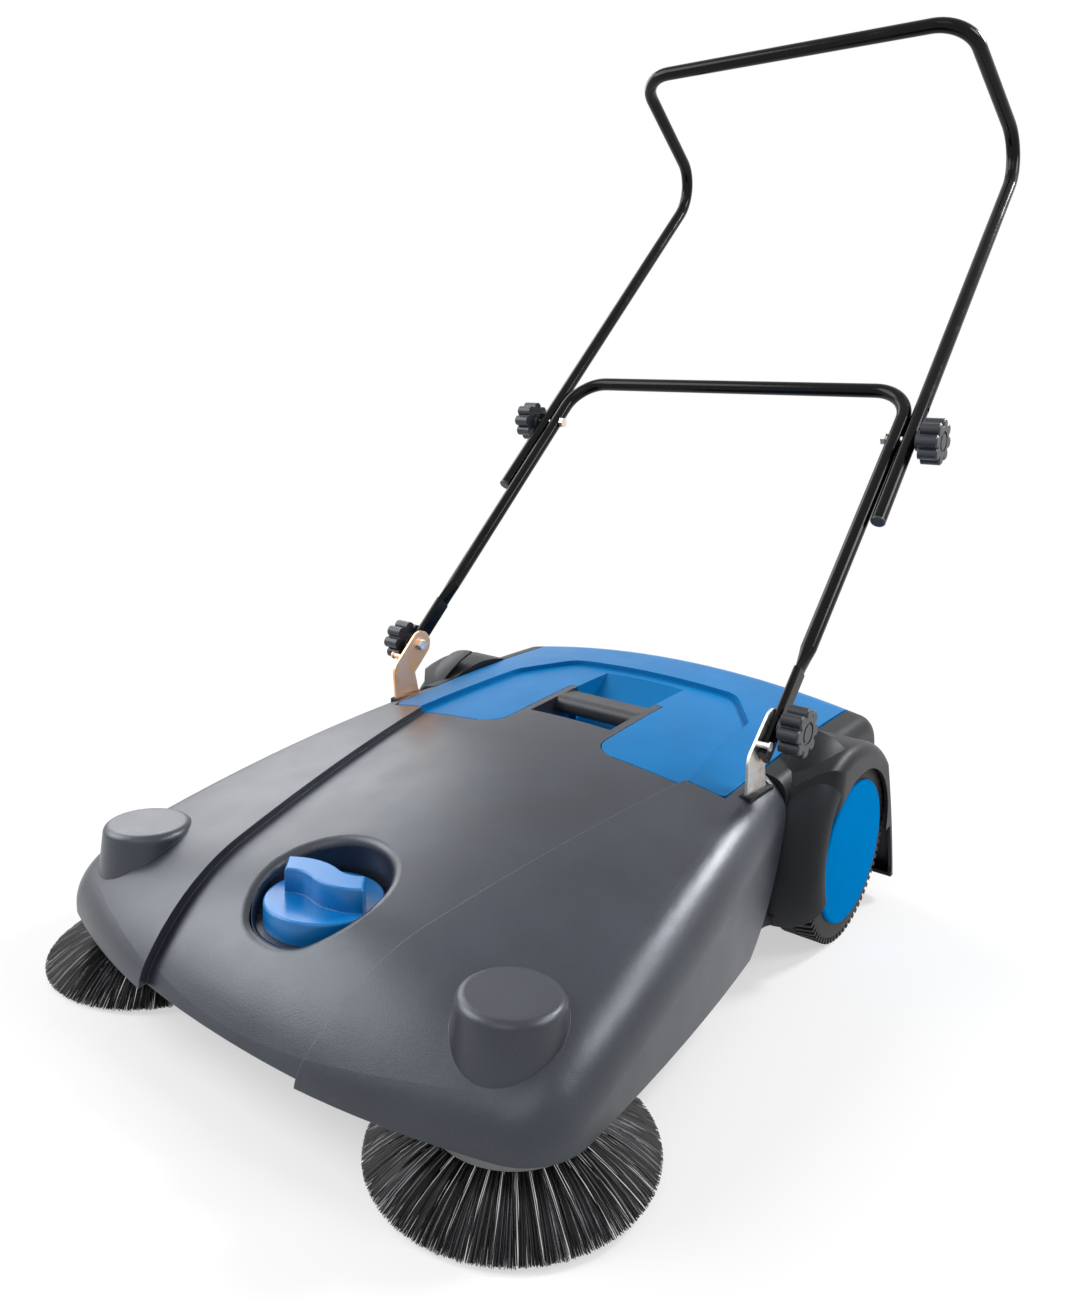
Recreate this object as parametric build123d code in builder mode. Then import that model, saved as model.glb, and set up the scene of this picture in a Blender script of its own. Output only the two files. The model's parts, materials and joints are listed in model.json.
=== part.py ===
"""Walk-behind push sweeper: two side brooms, a sweeping roller and a slide-out hopper.

Millimetres. +X is the machine's right side, +Y points back to the operator, +Z is up.
The origin lies on the floor, midway between the wheels and under their axle.
"""
import os
from math import acos, atan2, cos, hypot, pi, radians, sin

from build123d import *

os.makedirs("parts", exist_ok=True)

# Fits between pieces
RUN_FIT = 0.05
PIVOT_GAP = 0.8
SEAT_GAP = 0.3
PANEL_GAP = 1.5

# Crowned top of the body: a nose arc, a long gentle arc and a rounded tail, swept round a wide crown
CROWN_RADIUS = 1280.0
CROWN_TOP_Z = 220.0
CROWN_ARC = 17.0
NOSE_BREAK_Y = -514.0
NOSE_BREAK_Z = 163.0
NOSE_SLOPE = 15.0
NOSE_RADIUS = 206.0
BODY_REAR_Y = 150.0
BODY_REAR_Z = 260.0
BODY_REAR_ROUND = 45.0
FORM_BASE_Z = -60.0
FORM_HEIGHT = 400.0

# Front hood in plan, and its lowered middle panel
HOOD_WALL = 4.0
HOOD_FRONT_Y = -643.0
HOOD_CORNER_X = 314.0
HOOD_CORNER_Y = -584.0
HOOD_CORNER_ROUND = 60.0
HOOD_WAIST_X = 301.0
HOOD_WAIST_Y = -380.0
HOOD_BACK_X = 248.0
HOOD_BACK_Y = -40.0
HOOD_SHOULDER_ROUND = 45.0
HOOD_BOTTOM_Z = 58.0
HOOD_EDGE_TOP_Y = -126.0
HOOD_EDGE_MID_Y = -146.0
HOOD_EDGE_MID_Z = 124.0
HOOD_EDGE_LOW_Y = -217.0
PANEL_SETBACK = 8.0
PANEL_DROP = 6.0
PANEL_FRONT_X = 104.0
PANEL_FRONT_Y = -641.0
PANEL_REAR_X = 186.0
PANEL_REAR_Y = -187.0

# Round housings over the broom bearings
BOSS_X = 236.0
BOSS_Y = -540.0
BOSS_TOP_Z = 149.5
BOSS_FOOT_Z = 70.0
BOSS_FOOT_RADIUS = 52.0
BOSS_TAPER = 7.0
BOSS_EDGE_ROUND = 8.0

# Height adjuster: bowl in the hood, knob, screw, fork and front support roller
KNOB_Y = -514.0
BOWL_RADIUS = 60.0
BOWL_FLOOR_Z = 116.0
BOWL_RIM_ROUND = 9.0
KNOB_RADIUS = 54.0
KNOB_BASE_THICK = 22.0
KNOB_GRIP_HEIGHT = 23.0
KNOB_EDGE_ROUND = 3.0
KNOB_GRIP_EDGE = 2.5
KNOB_GRIP_HALF = 42.0
KNOB_GRIP_BOW = 5.5
KNOB_GRIP_WIDTH = 28.0
KNOB_TURN = 13.0
SCREW_RADIUS = 5.0
SCREW_COLLAR_RADIUS = 9.0
SCREW_COLLAR_THICK = 2.5
SCREW_END_Z = 74.0
FORK_STEM_RADIUS = 12.0
FORK_STEM_TOP_Z = 96.0
FORK_YOKE_Z = 60.0
FORK_YOKE_THICK = 6.0
FORK_CHEEK_THICK = 5.0
FORK_CHEEK_WIDTH = 24.0
FORK_SIDE_GAP = 2.0
FORK_GUIDE_WALL = 8.0
FORK_GUIDE_BOTTOM_Z = 80.0
FORK_GUIDE_TOP_Z = 108.0
FRONT_ROLLER_RADIUS = 25.0
FRONT_ROLLER_WIDTH = 60.0
FRONT_AXLE_RADIUS = 5.0

# Carrying grip in the tongue between the lid's shoulders
TONGUE_HALF = 66.0
TONGUE_RAIL = 9.0
TONGUE_RAIL_BOTTOM_Z = 208.0
TONGUE_END_Y = -52.0
WINDOW_FRONT_Y = -147.0
GRIP_DEPTH = 45.0
GRIP_HEIGHT = 22.0
GRIP_TOP_Z = 236.0
GRIP_ROUND = 10.0

# Hopper lid and bin
LID_HALF = 229.0
LID_FRONT_Y = -199.0
LID_WALL = 3.0
LID_BOTTOM_Z = 190.0
LID_CORNER_ROUND = 8.0
LID_MOUTH_ROUND = 28.0
LID_PANEL_SIDE_X = 170.0
LID_PANEL_SIDE_Y = -31.0
LID_PANEL_TAIL_X = 120.0
LID_PANEL_TAIL_Y = 35.0
LID_PANEL_ROUND = 28.0
POCKET_FLOOR_Z = 193.0
POCKET_RAMP_END_Y = 29.0
POCKET_RAMP_END_Z = 256.0
BIN_HALF = 200.0
BIN_FRONT_Y = -172.0
BIN_REAR_Y = 134.0
BIN_WALL = 3.0
BIN_LIP_Z = 82.0
BIN_FLANGE_THICK = 3.0
BIN_CORNER_ROUND = 14.0

# Chassis tray with side plates, front deck, roller tunnel and dirt ramp
PLATE_X = 206.0
PLATE_THICK = 4.0
PLATE_TOP_Z = 184.0
PLATE_REAR_Y = 140.0
PLATE_FRONT_Y = -408.0
PLATE_FRONT_BOTTOM_Z = 50.0
PAN_BOTTOM_Z = 28.0
PAN_THICK = 4.0
DECK_Z = 104.0
DECK_THICK = 4.0
DECK_HALF = 250.0
DECK_FRONT_Y = -562.0
DECK_BACK_Y = -396.0
DECK_CORNER_ROUND = 45.0
TUNNEL_RADIUS = 79.0
TUNNEL_WALL = 4.0
TUNNEL_SKIRT_Z = 58.0
TUNNEL_TAIL_Z = 118.0
RAMP_TIP_Y = -262.0
RAMP_TIP_Z = 10.0
RAMP_TOP_Y = -178.0
FLAP_THICK = 3.0
FLAP_GROUND_GAP = 2.0
FLAP_LUG_DEPTH = 12.0
POST_RADIUS = 8.0
POST_FRONT_X = 140.0
POST_FRONT_Y = -552.0
POST_REAR_X = 150.0
POST_REAR_Y = -420.0
POST_SCREW_RADIUS = 2.5
POST_SCREW_DEPTH = 16.0
POST_SCREW_HEAD_RADIUS = 7.0
POST_SCREW_HEAD_THICK = 3.5
STANDOFF_RADIUS = 7.0
STANDOFF_SPOTS = ((70.0, 172.0), (84.0, 64.0), (-100.0, 172.0), (-84.0, 48.0))

# Wheels, stub axles and wheel housings
WHEEL_RADIUS = 108.0
TYRE_FACE_X = 292.0
TYRE_WIDTH = 46.0
TREAD_DEPTH = 6.0
TREAD_LUGS = 54
TREAD_GROOVE = 6.0
TREAD_LUG_SHARE = 0.55
TREAD_SHOULDER = 3.0
TYRE_EDGE_ROUND = 4.0
RIM_RADIUS = 80.0
RIM_BAND = 6.0
RIM_WEB_THICK = 5.0
RIM_HUB_RADIUS = 24.0
RIM_RIBS = 6
HUB_INNER_X = 240.0
HUB_OUTER_X = 284.0
HUBCAP_RADIUS = 83.0
HUBCAP_THICK = 4.0
HUBCAP_EDGE_ROUND = 2.5
HUBCAP_SNAP = 6.0
AXLE_RADIUS = 8.0
AXLE_HEAD_RADIUS = 12.0
AXLE_HEAD_THICK = 4.0
AXLE_BOSS_RADIUS = 16.0
AXLE_BOSS_LENGTH = 2.4
AXLE_CLIP_RADIUS = 15.0
AXLE_CLIP_THICK = 2.0
AXLE_END_X = 289.0
HOUSING_X = 232.0
HOUSING_WALL = 4.0
SHOULDER_X = 262.0
SHOULDER_ROUND = 20.0
SHOULDER_FOOT_Z = 62.0
ARCH_X = 300.0
ARCH_FRONT_X = 254.0
ARCH_FRONT_Y = -215.0
ARCH_FLARE_Y = -122.0
ARCH_FULL_Y = -72.0
ARCH_FLARE_ROUND = 30.0
ARCH_FRONT_TOP_Z = 176.0
ARCH_HOOD_Z = 194.0
ARCH_CROWN_Y = -25.0
ARCH_CROWN_Z = 237.0
ARCH_TAIL_Y = 86.0
ARCH_TAIL_Z = 197.0
SKIRT_MID_Y = 124.0
SKIRT_MID_Z = 120.0
SKIRT_END_Y = 160.0
SKIRT_END_Z = 31.0
ARCH_FOOT_Z = 44.0
ARCH_EDGE_ROUND = 14.0
LIP_RADIUS = 97.0
LIP_FRONT_Z = 77.0
LIP_FRONT_FOOT_Y = -108.0
FAIRING_FOOT_Z = 50.0
LIP_REAR_Y = 111.0
LIP_FOOT_Y = 139.0
WELL_CLEARANCE = 4.0
FLANGE_HOLE_RADIUS = 58.0
FLANGE_FRONT_Y = -116.0
FLANGE_BOTTOM_Z = 36.0
HOUSING_SCREW_HEAD = 3.0

# Round-belt drive
BELT_RADIUS = 2.5
WHEEL_PULLEY_PITCH = 36.0
ROLLER_PULLEY_PITCH = 18.0
BROOM_PULLEY_PITCH = 36.0
PULLEY_WIDTH = 12.0
PULLEY_RIM = 3.0
GROOVE_FLOOR = 5.6
GROOVE_MOUTH = 11.0
BROOM_PULLEY_WIDTH = 22.0
BROOM_GROOVE_MOUTH = 20.0
PULLEY_SLEEVE_RADIUS = 20.0
WHEEL_BELT_X = 219.0
BROOM_BELT_X = 232.0
BELT_CORNER_SHARE = 0.86
BROOM_BELT_LIFT = 1.0

# Sweeping roller
ROLLER_Y = -326.0
ROLLER_TIP_RADIUS = 71.5
ROLLER_FLOOR_GAP = 0.7
ROLLER_CORE_RADIUS = 22.0
ROLLER_HALF = 194.0
ROLLER_SHAFT_RADIUS = 7.0
ROLLER_SHAFT_END_X = 240.0
ROLLER_BACKING = 2.0
ROLLER_ROWS = 8
ROLLER_ROW_STRANDS = 20
ROLLER_ROW_TWIST = 50.0
ROLLER_STRAND_RADIUS = 1.4
BEARING_RADIUS = 12.0
BEARING_FLANGE_RADIUS = 16.0
BEARING_FLANGE_THICK = 3.0
BEARING_NOSE = 2.4

# Side brooms, each on a spindle that leans forward
BROOM_X = 232.0
BROOM_Y = -524.0
BROOM_TILT = 3.0
BROOM_RADIUS = 117.7
BROOM_FLOOR_GAP = 1.2
BROOM_HUB_RADIUS = 68.0
BROOM_HUB_BOTTOM = 36.0
BROOM_HUB_THICK = 12.0
BROOM_HUB_NECK_RADIUS = 20.0
BROOM_NECK_TOP = 62.0
BROOM_PULLEY_LEVEL = 76.0
BROOM_BACKING_THICK = 4.0
BROOM_BACKING_INNER = 46.0
BROOM_BACKING_OUTER = 64.0
BROOM_STRANDS = 120
BROOM_ROW_ROOTS = (60.0, 56.0, 52.0)
BROOM_ROW_SHORTER = (0.0, 6.0, 14.0)
STRAND_RADIUS = 1.1
SPINDLE_RADIUS = 8.0
SPINDLE_NUT_RADIUS = 13.0
SPINDLE_NUT_THICK = 6.0
BUSH_RADIUS = 11.0
BUSH_FLANGE_RADIUS = 15.0
BUSH_FLANGE_THICK = 4.0
BUSH_BOTTOM = 92.0
BUSH_TOP = 126.0
BUSH_BOSS_WALL = 5.0

# Push handle: lower loop, upper loop, brackets and star knobs
HANDLE_ANGLE = 47.0
PIVOT_Y = -142.0
PIVOT_Z = 274.5
TUBE_RADIUS = 8.5
TUBE_WALL = 1.5
LOOP_ROUND = 47.0
LOWER_TOP_X = 241.5
LOWER_LENGTH = 470.0
FLAT_THICK = 8.0
FLAT_WIDTH = 22.0
FLAT_TAIL = 37.0
FLAT_END = 68.0
FLAT_BLEND = 28.0
FLAT_STEP = 0.3
CLAMP_S = 393.0
ADJUST_HOLE_S = 440.0
ADJUST_HOLE_RADIUS = 3.0
TUBE_GAP = 0.6
UPPER_TAIL_S = 273.0
UPPER_BEND_S = 910.0
UPPER_BEND_X = 246.0
UPPER_TOP_X = 224.0
UPPER_REACH_Y = -216.0
UPPER_RISE_Z = 104.0
CAP_THICK = 3.0
CAP_DEPTH = 12.0
BOLT_RADIUS = 4.0
BOLT_HEAD_RADIUS = 7.0
BOLT_HEAD_THICK = 5.0
BOLT_REACH = 18.0
STAR_RADIUS = 26.0
STAR_LOBES = 8
STAR_LOBE_RADIUS = 7.0
STAR_BODY = 22.0
STAR_NECK = 7.0
STAR_NECK_RADIUS = 12.0
STAR_RING_RADIUS = 9.0
STAR_RING_DEPTH = 1.5
STAR_EDGE = 1.5
BRACKET_X = 243.0
BRACKET_THICK = 3.0
BRACKET_HALF_WIDTH = 17.5
BRACKET_FOOT_Y = -160.0
BRACKET_FOOT_Z = 150.0
BRACKET_KNEE_S = -42.0
STOP_PIN_RADIUS = 3.0
STOP_PIN_S = -30.0
STOP_PIN_HEAD = 2.0
STOP_PIN_HEAD_RADIUS = 4.5
LUG_THICK = 4.0
LUG_HALF_WIDTH = 24.0
LUG_TOP_Z = 186.0
LUG_SHELF_Z = 140.0
COLLAR_LENGTH = 52.0
COLLAR_WALL = 5.0
COLLAR_BOTTOM_Z = 196.0
COLLAR_TOP_Z = 211.0
BRACKET_SCREW_RADIUS = 3.0
BRACKET_SCREW_HEAD_RADIUS = 6.0
BRACKET_SCREW_HEAD_THICK = 3.0
BRACKET_SCREW_ZS = (160.0, 177.0)

# Places worked out from the sizes above
CROWN_AXIS_Z = CROWN_TOP_Z - CROWN_RADIUS
AXLE_Z = WHEEL_RADIUS
ROLLER_Z = ROLLER_TIP_RADIUS + ROLLER_FLOOR_GAP
PAN_TOP_Z = PAN_BOTTOM_Z + PAN_THICK
DECK_TOP_Z = DECK_Z + DECK_THICK
NOTCH_HALF = TONGUE_HALF + PANEL_GAP
NOTCH_END_Y = TONGUE_END_Y + PANEL_GAP
PLATE_OUT_X = PLATE_X + PLATE_THICK
BRACKET_OUT_X = BRACKET_X + BRACKET_THICK
LOWER_FOOT_X = BRACKET_OUT_X + PIVOT_GAP + FLAT_THICK / 2
LOWER_LEAN = (LOWER_FOOT_X - LOWER_TOP_X) / LOWER_LENGTH
CLAMP_LOWER_X = LOWER_FOOT_X - LOWER_LEAN * CLAMP_S
CLAMP_UPPER_X = CLAMP_LOWER_X + 2 * TUBE_RADIUS + TUBE_GAP
UPPER_LEAN = (CLAMP_UPPER_X - UPPER_BEND_X) / (UPPER_BEND_S - CLAMP_S)
BROOM_AXIS = Vector(0, -sin(radians(BROOM_TILT)), cos(radians(BROOM_TILT)))
BROOM_CENTRE_Z = BROOM_FLOOR_GAP + BROOM_RADIUS * sin(radians(BROOM_TILT))
ACROSS = Vector(0, -sin(radians(HANDLE_ANGLE)), cos(radians(HANDLE_ANGLE)))
PIVOT = Vector(0, PIVOT_Y, PIVOT_Z)
HANDLE_PLANE = Plane(origin=PIVOT, x_dir=(1, 0, 0), z_dir=ACROSS)


def finish(piece, name):
    """Label one finished piece and write it."""
    piece.label = name
    export_step(piece, f"parts/{name}.step")


def finish_pair(piece, name):
    """Write a right-hand piece and its mirror image on the left."""
    finish(piece, f"right_{name}")
    finish(mirror(piece, about=Plane.YZ), f"left_{name}")


def side_plane(x):
    """Plane of a side view at x: its first axis is +Y and its second is +Z."""
    return Plane(origin=(x, 0, 0), x_dir=(0, 1, 0), z_dir=(1, 0, 0))


def broom_plane(level):
    """Plane square to the right broom's spindle, at a level above the bristle tips."""
    centre = Vector(BROOM_X, BROOM_Y, BROOM_CENTRE_Z) + BROOM_AXIS * level
    return Plane(origin=centre, x_dir=(1, 0, 0), z_dir=BROOM_AXIS)


def crown_solid(setback, drop):
    """Everything under the body's crowned top, set back and dropped by the given amounts."""
    lift = -CROWN_AXIS_Z - drop
    lean = Plane(
        origin=(0, setback, CROWN_AXIS_Z),
        x_dir=(0, 1, 0),
        z_dir=(cos(radians(CROWN_ARC)), 0, sin(radians(CROWN_ARC))),
    )
    uphill = (cos(radians(NOSE_SLOPE)), sin(radians(NOSE_SLOPE)))
    start = (NOSE_BREAK_Y, NOSE_BREAK_Z + lift)
    tail_y = BODY_REAR_Y - 2 * setback
    base = FORM_BASE_Z + lift
    with BuildPart() as solid:
        with BuildSketch(lean) as outline:
            with BuildLine():
                nose = JernArc(start, (-uphill[0], -uphill[1]), NOSE_RADIUS, 90 - NOSE_SLOPE)
                top = TangentArc(start, (tail_y, BODY_REAR_Z + lift), tangent=uphill)
                Polyline(top @ 1, (tail_y, base), ((nose @ 1).X, base), nose @ 1)
            make_face()
            fillet(outline.vertices().sort_by(Axis.Y)[-1], BODY_REAR_ROUND)
        revolve(axis=Axis((0, 0, CROWN_AXIS_Z), (0, 1, 0)), revolution_arc=2 * CROWN_ARC)
    return solid.part


def hood_block(inset):
    """The hood's plan outline under the crowned top, with its wide rounded shoulder."""
    corner = (HOOD_CORNER_X - inset, HOOD_CORNER_Y + inset)
    waist = (HOOD_WAIST_X - inset, HOOD_WAIST_Y)
    back = (HOOD_BACK_X - inset, HOOD_BACK_Y)
    with BuildPart() as block:
        with BuildSketch(Plane.XY.offset(FORM_BASE_Z)) as plan:
            with BuildLine():
                ThreePointArc((-corner[0], corner[1]), (0, HOOD_FRONT_Y + inset), corner)
                ThreePointArc(corner, waist, back)
                Line(back, (-back[0], back[1]))
                ThreePointArc((-back[0], back[1]), (-waist[0], waist[1]), (-corner[0], corner[1]))
            make_face()
            fillet(plan.vertices().group_by(Axis.Y)[0], HOOD_CORNER_ROUND - inset)
        extrude(amount=FORM_HEIGHT)
        add(crown_solid(0, inset), mode=Mode.INTERSECT)
        boxes = [(edge, edge.bounding_box()) for edge in block.edges()]
        rim = [e for e, box in boxes if box.min.Z > FORM_BASE_Z + 1 and box.min.Y < HOOD_BACK_Y - 1]
        fillet(rim, HOOD_SHOULDER_ROUND - inset)
    return block.part


def panel_block(inset):
    """The lowered middle of the hood, a little behind and below the rest, rounded along its front."""
    back_off = PANEL_SETBACK + inset
    corner = (HOOD_CORNER_X, HOOD_CORNER_Y + back_off)
    with BuildPart() as block:
        with BuildSketch(Plane.XY.offset(FORM_BASE_Z)):
            with BuildLine():
                ThreePointArc((-corner[0], corner[1]), (0, HOOD_FRONT_Y + back_off), corner)
                Polyline(corner, (corner[0], 0), (-corner[0], 0), (-corner[0], corner[1]))
            make_face()
        extrude(amount=FORM_HEIGHT)
        add(crown_solid(PANEL_SETBACK, PANEL_DROP + inset), mode=Mode.INTERSECT)
        boxes = [(edge, edge.bounding_box()) for edge in block.edges()]
        above = [(edge, box) for edge, box in boxes if box.min.Z > FORM_BASE_Z + 1]
        front = [edge for edge, box in above if box.max.Y < corner[1] + 1 and edge.length > HOOD_CORNER_X]
        fillet(front, HOOD_SHOULDER_ROUND - inset)
        extrude(panel_zone(inset), amount=FORM_HEIGHT, mode=Mode.INTERSECT)
    return block.part


def panel_zone(grow):
    """Plan of the hood's lowered middle panel, widening towards the rear."""
    widen = (PANEL_REAR_X - PANEL_FRONT_X) / (PANEL_REAR_Y - PANEL_FRONT_Y)
    front_y = 2 * HOOD_FRONT_Y - PANEL_FRONT_Y
    front_x = PANEL_FRONT_X + widen * (front_y - PANEL_FRONT_Y) + grow
    rear_x = PANEL_FRONT_X - widen * PANEL_FRONT_Y + grow
    with BuildSketch(Plane.XY.offset(FORM_BASE_Z)) as zone:
        Polygon((-front_x, front_y), (front_x, front_y), (rear_x, 0), (-rear_x, 0), align=None)
    return zone.sketch


def boss_solid(inset):
    """Right-hand round housing over the broom bearing."""
    with BuildPart() as boss:
        with BuildSketch(Plane.XY.offset(BOSS_FOOT_Z)):
            with Locations((BOSS_X, BOSS_Y)):
                Circle(BOSS_FOOT_RADIUS - inset)
        extrude(amount=BOSS_TOP_Z - BOSS_FOOT_Z - inset, taper=BOSS_TAPER)
        fillet(boss.edges().group_by(Axis.Z)[-1], BOSS_EDGE_ROUND)
    return boss.part


def deck_form(inset):
    """Outside of the hood, or its cavity when inset by the wall."""
    with BuildPart() as form:
        add(hood_block(inset))
        extrude(panel_zone(inset), amount=FORM_HEIGHT, mode=Mode.SUBTRACT)
        add(panel_block(inset))
        add(boss_solid(inset))
        add(mirror(boss_solid(inset), about=Plane.YZ))
    return form.part


def notch_zone(grow):
    """Plan of the notch in the lid that the hood's tongue fills, with its flared mouth."""
    half = NOTCH_HALF + grow
    mouth = half + LID_MOUTH_ROUND
    with BuildSketch() as zone:
        with BuildLine():
            right = Line((half, NOTCH_END_Y + grow), (half, LID_FRONT_Y + LID_MOUTH_ROUND))
            flare = TangentArc(right @ 1, (mouth, LID_FRONT_Y), tangent=(0, -1))
            Line(flare @ 1, (mouth, LID_FRONT_Y - LID_MOUTH_ROUND))
            mirror(about=Plane.YZ)
            Line((-half, NOTCH_END_Y + grow), (half, NOTCH_END_Y + grow))
            Line((-mouth, LID_FRONT_Y - LID_MOUTH_ROUND), (mouth, LID_FRONT_Y - LID_MOUTH_ROUND))
        make_face()
    return zone.sketch


# Front hood: one moulded shell with the knob bowl, the tongue and its screw posts
post_spots = [
    (sign * x, y)
    for x, y in ((POST_FRONT_X, POST_FRONT_Y), (POST_REAR_X, POST_REAR_Y))
    for sign in (1, -1)
]
rail_mid_x = TONGUE_HALF - TONGUE_RAIL / 2
rail_mid_y = (LID_FRONT_Y + TONGUE_END_Y) / 2
with BuildPart() as hood_cavity:
    add(deck_form(HOOD_WALL))
    with BuildSketch(Plane.XY.offset(BOWL_FLOOR_Z - HOOD_WALL)):
        with Locations((0, KNOB_Y)):
            Circle(BOWL_RADIUS + HOOD_WALL)
    extrude(amount=FORM_HEIGHT, mode=Mode.SUBTRACT)
    with BuildSketch(Plane.XY.offset(DECK_TOP_Z)):
        with Locations(*post_spots):
            Circle(POST_RADIUS)
    extrude(amount=FORM_HEIGHT, mode=Mode.SUBTRACT)
    with BuildSketch(Plane.XY.offset(TONGUE_RAIL_BOTTOM_Z)):
        with Locations((rail_mid_x, rail_mid_y), (-rail_mid_x, rail_mid_y)):
            Rectangle(TONGUE_RAIL, TONGUE_END_Y - LID_FRONT_Y)
    extrude(amount=FORM_HEIGHT, mode=Mode.SUBTRACT)

with BuildPart() as front_hood:
    add(deck_form(0))
    # Bowl for the knob, with its soft rim and the screw hole
    with BuildSketch(Plane.XY.offset(BOWL_FLOOR_Z)):
        with Locations((0, KNOB_Y)):
            Circle(BOWL_RADIUS)
    extrude(amount=FORM_HEIGHT, mode=Mode.SUBTRACT)
    bowl_wall = front_hood.faces(Select.LAST).filter_by(GeomType.CYLINDER)
    bowl_rim = [edge for edge in bowl_wall.edges() if edge.bounding_box().min.Z > BOWL_FLOOR_Z + 1]
    fillet(bowl_rim, BOWL_RIM_ROUND)
    add(hood_cavity.part, mode=Mode.SUBTRACT)
    with BuildSketch(Plane.XY.offset(BOWL_FLOOR_Z)):
        with Locations((0, KNOB_Y)):
            Circle(SCREW_RADIUS + RUN_FIT)
    extrude(amount=-2 * HOOD_WALL, mode=Mode.SUBTRACT)
    # Room for the lid, for the hand and behind the tongue
    with BuildSketch():
        with Locations((0, LID_FRONT_Y - PANEL_GAP)):
            Rectangle(2 * (LID_HALF + PANEL_GAP), FORM_HEIGHT, align=(Align.CENTER, Align.MIN))
        add(notch_zone(-PANEL_GAP), mode=Mode.SUBTRACT)
    extrude(amount=FORM_HEIGHT, mode=Mode.SUBTRACT)
    with BuildSketch():
        with Locations((0, WINDOW_FRONT_Y)):
            Rectangle(2 * (TONGUE_HALF - TONGUE_RAIL), FORM_HEIGHT, align=(Align.CENTER, Align.MIN))
    extrude(amount=FORM_HEIGHT, mode=Mode.SUBTRACT)
    # Swept rear edges of the two flanks
    for sign in (1, -1):
        with BuildSketch(side_plane(sign * LID_HALF)):
            with BuildLine():
                edge_top = (HOOD_EDGE_TOP_Y, FORM_HEIGHT)
                edge_low = (HOOD_EDGE_LOW_Y, HOOD_BOTTOM_Z)
                fall = Line(edge_top, (HOOD_EDGE_TOP_Y, LID_BOTTOM_Z))
                sweep_low = ThreePointArc(fall @ 1, (HOOD_EDGE_MID_Y, HOOD_EDGE_MID_Z), edge_low)
                Polyline(sweep_low @ 1, (HOOD_EDGE_LOW_Y, FORM_BASE_Z), (FORM_HEIGHT, FORM_BASE_Z))
                Polyline((FORM_HEIGHT, FORM_BASE_Z), (FORM_HEIGHT, FORM_HEIGHT), edge_top)
            make_face()
        extrude(amount=sign * FORM_HEIGHT, mode=Mode.SUBTRACT)
    # Slots that the handle brackets' collars fill
    with BuildSketch(Plane.XY.offset(BRACKET_FOOT_Z)):
        with Locations(*[(s * (BRACKET_X + BRACKET_THICK / 2), BRACKET_FOOT_Y) for s in (1, -1)]):
            Rectangle(BRACKET_THICK + 2 * COLLAR_WALL + SEAT_GAP, COLLAR_LENGTH + SEAT_GAP)
    extrude(amount=FORM_HEIGHT, mode=Mode.SUBTRACT)
    with BuildSketch(Plane.XY.offset(DECK_TOP_Z)):
        with Locations(*post_spots):
            Circle(POST_SCREW_RADIUS)
    extrude(amount=POST_SCREW_DEPTH, mode=Mode.SUBTRACT)
    split(bisect_by=Plane.XY.offset(HOOD_BOTTOM_Z), keep=Keep.TOP)
finish(front_hood.part, "front_hood")

# Carrying grip: a rounded bar between the tongue's rails
with BuildPart() as carry_grip:
    with BuildSketch(side_plane(-TONGUE_HALF + TONGUE_RAIL)):
        with Locations((TONGUE_END_Y - GRIP_DEPTH / 2, GRIP_TOP_Z - GRIP_HEIGHT / 2)):
            RectangleRounded(GRIP_DEPTH, GRIP_HEIGHT, GRIP_ROUND)
    extrude(amount=2 * (TONGUE_HALF - TONGUE_RAIL))
finish(carry_grip.part, "carry_grip")

# Screws that hold the hood's posts to the deck
with BuildPart() as hood_screws:
    with BuildSketch(Plane.XY.offset(DECK_Z - POST_SCREW_HEAD_THICK)):
        with Locations(*post_spots):
            Circle(POST_SCREW_HEAD_RADIUS)
    extrude(amount=POST_SCREW_HEAD_THICK)
    with BuildSketch(Plane.XY.offset(DECK_Z)):
        with Locations(*post_spots):
            Circle(POST_SCREW_RADIUS)
    extrude(amount=DECK_THICK + POST_SCREW_DEPTH)
finish(hood_screws.part, "hood_screws")


def lid_block(inset):
    """The lid's outside, or its cavity when inset by the wall, still without the hand pocket."""
    half = LID_HALF - inset
    with BuildPart() as lowered:
        with BuildSketch() as zone:
            Polygon(
                (-PANEL_REAR_X - inset, LID_FRONT_Y + inset),
                (PANEL_REAR_X + inset, LID_FRONT_Y + inset),
                (LID_PANEL_SIDE_X + inset, LID_PANEL_SIDE_Y),
                (LID_PANEL_TAIL_X + inset, LID_PANEL_TAIL_Y + inset),
                (-LID_PANEL_TAIL_X - inset, LID_PANEL_TAIL_Y + inset),
                (-LID_PANEL_SIDE_X - inset, LID_PANEL_SIDE_Y),
                align=None,
            )
            fillet(zone.vertices().group_by(Axis.Y)[1] + zone.vertices().group_by(Axis.Y)[2], LID_PANEL_ROUND)
        extrude(amount=FORM_HEIGHT)
        add(crown_solid(PANEL_SETBACK, PANEL_DROP + inset), mode=Mode.INTERSECT)
    with BuildPart() as block:
        with BuildSketch() as plan:
            with Locations((0, LID_FRONT_Y + inset)):
                Rectangle(2 * half, BODY_REAR_Y - LID_FRONT_Y - 2 * inset, align=(Align.CENTER, Align.MIN))
            fillet(plan.vertices().group_by(Axis.Y)[0], LID_CORNER_ROUND)
        extrude(amount=FORM_HEIGHT)
        add(crown_solid(inset, inset), mode=Mode.INTERSECT)
        extrude(zone.sketch, amount=FORM_HEIGHT, mode=Mode.SUBTRACT)
        add(lowered.part)
        split(bisect_by=Plane.XY.offset(LID_BOTTOM_Z), keep=Keep.TOP)
    return block.part


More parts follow.
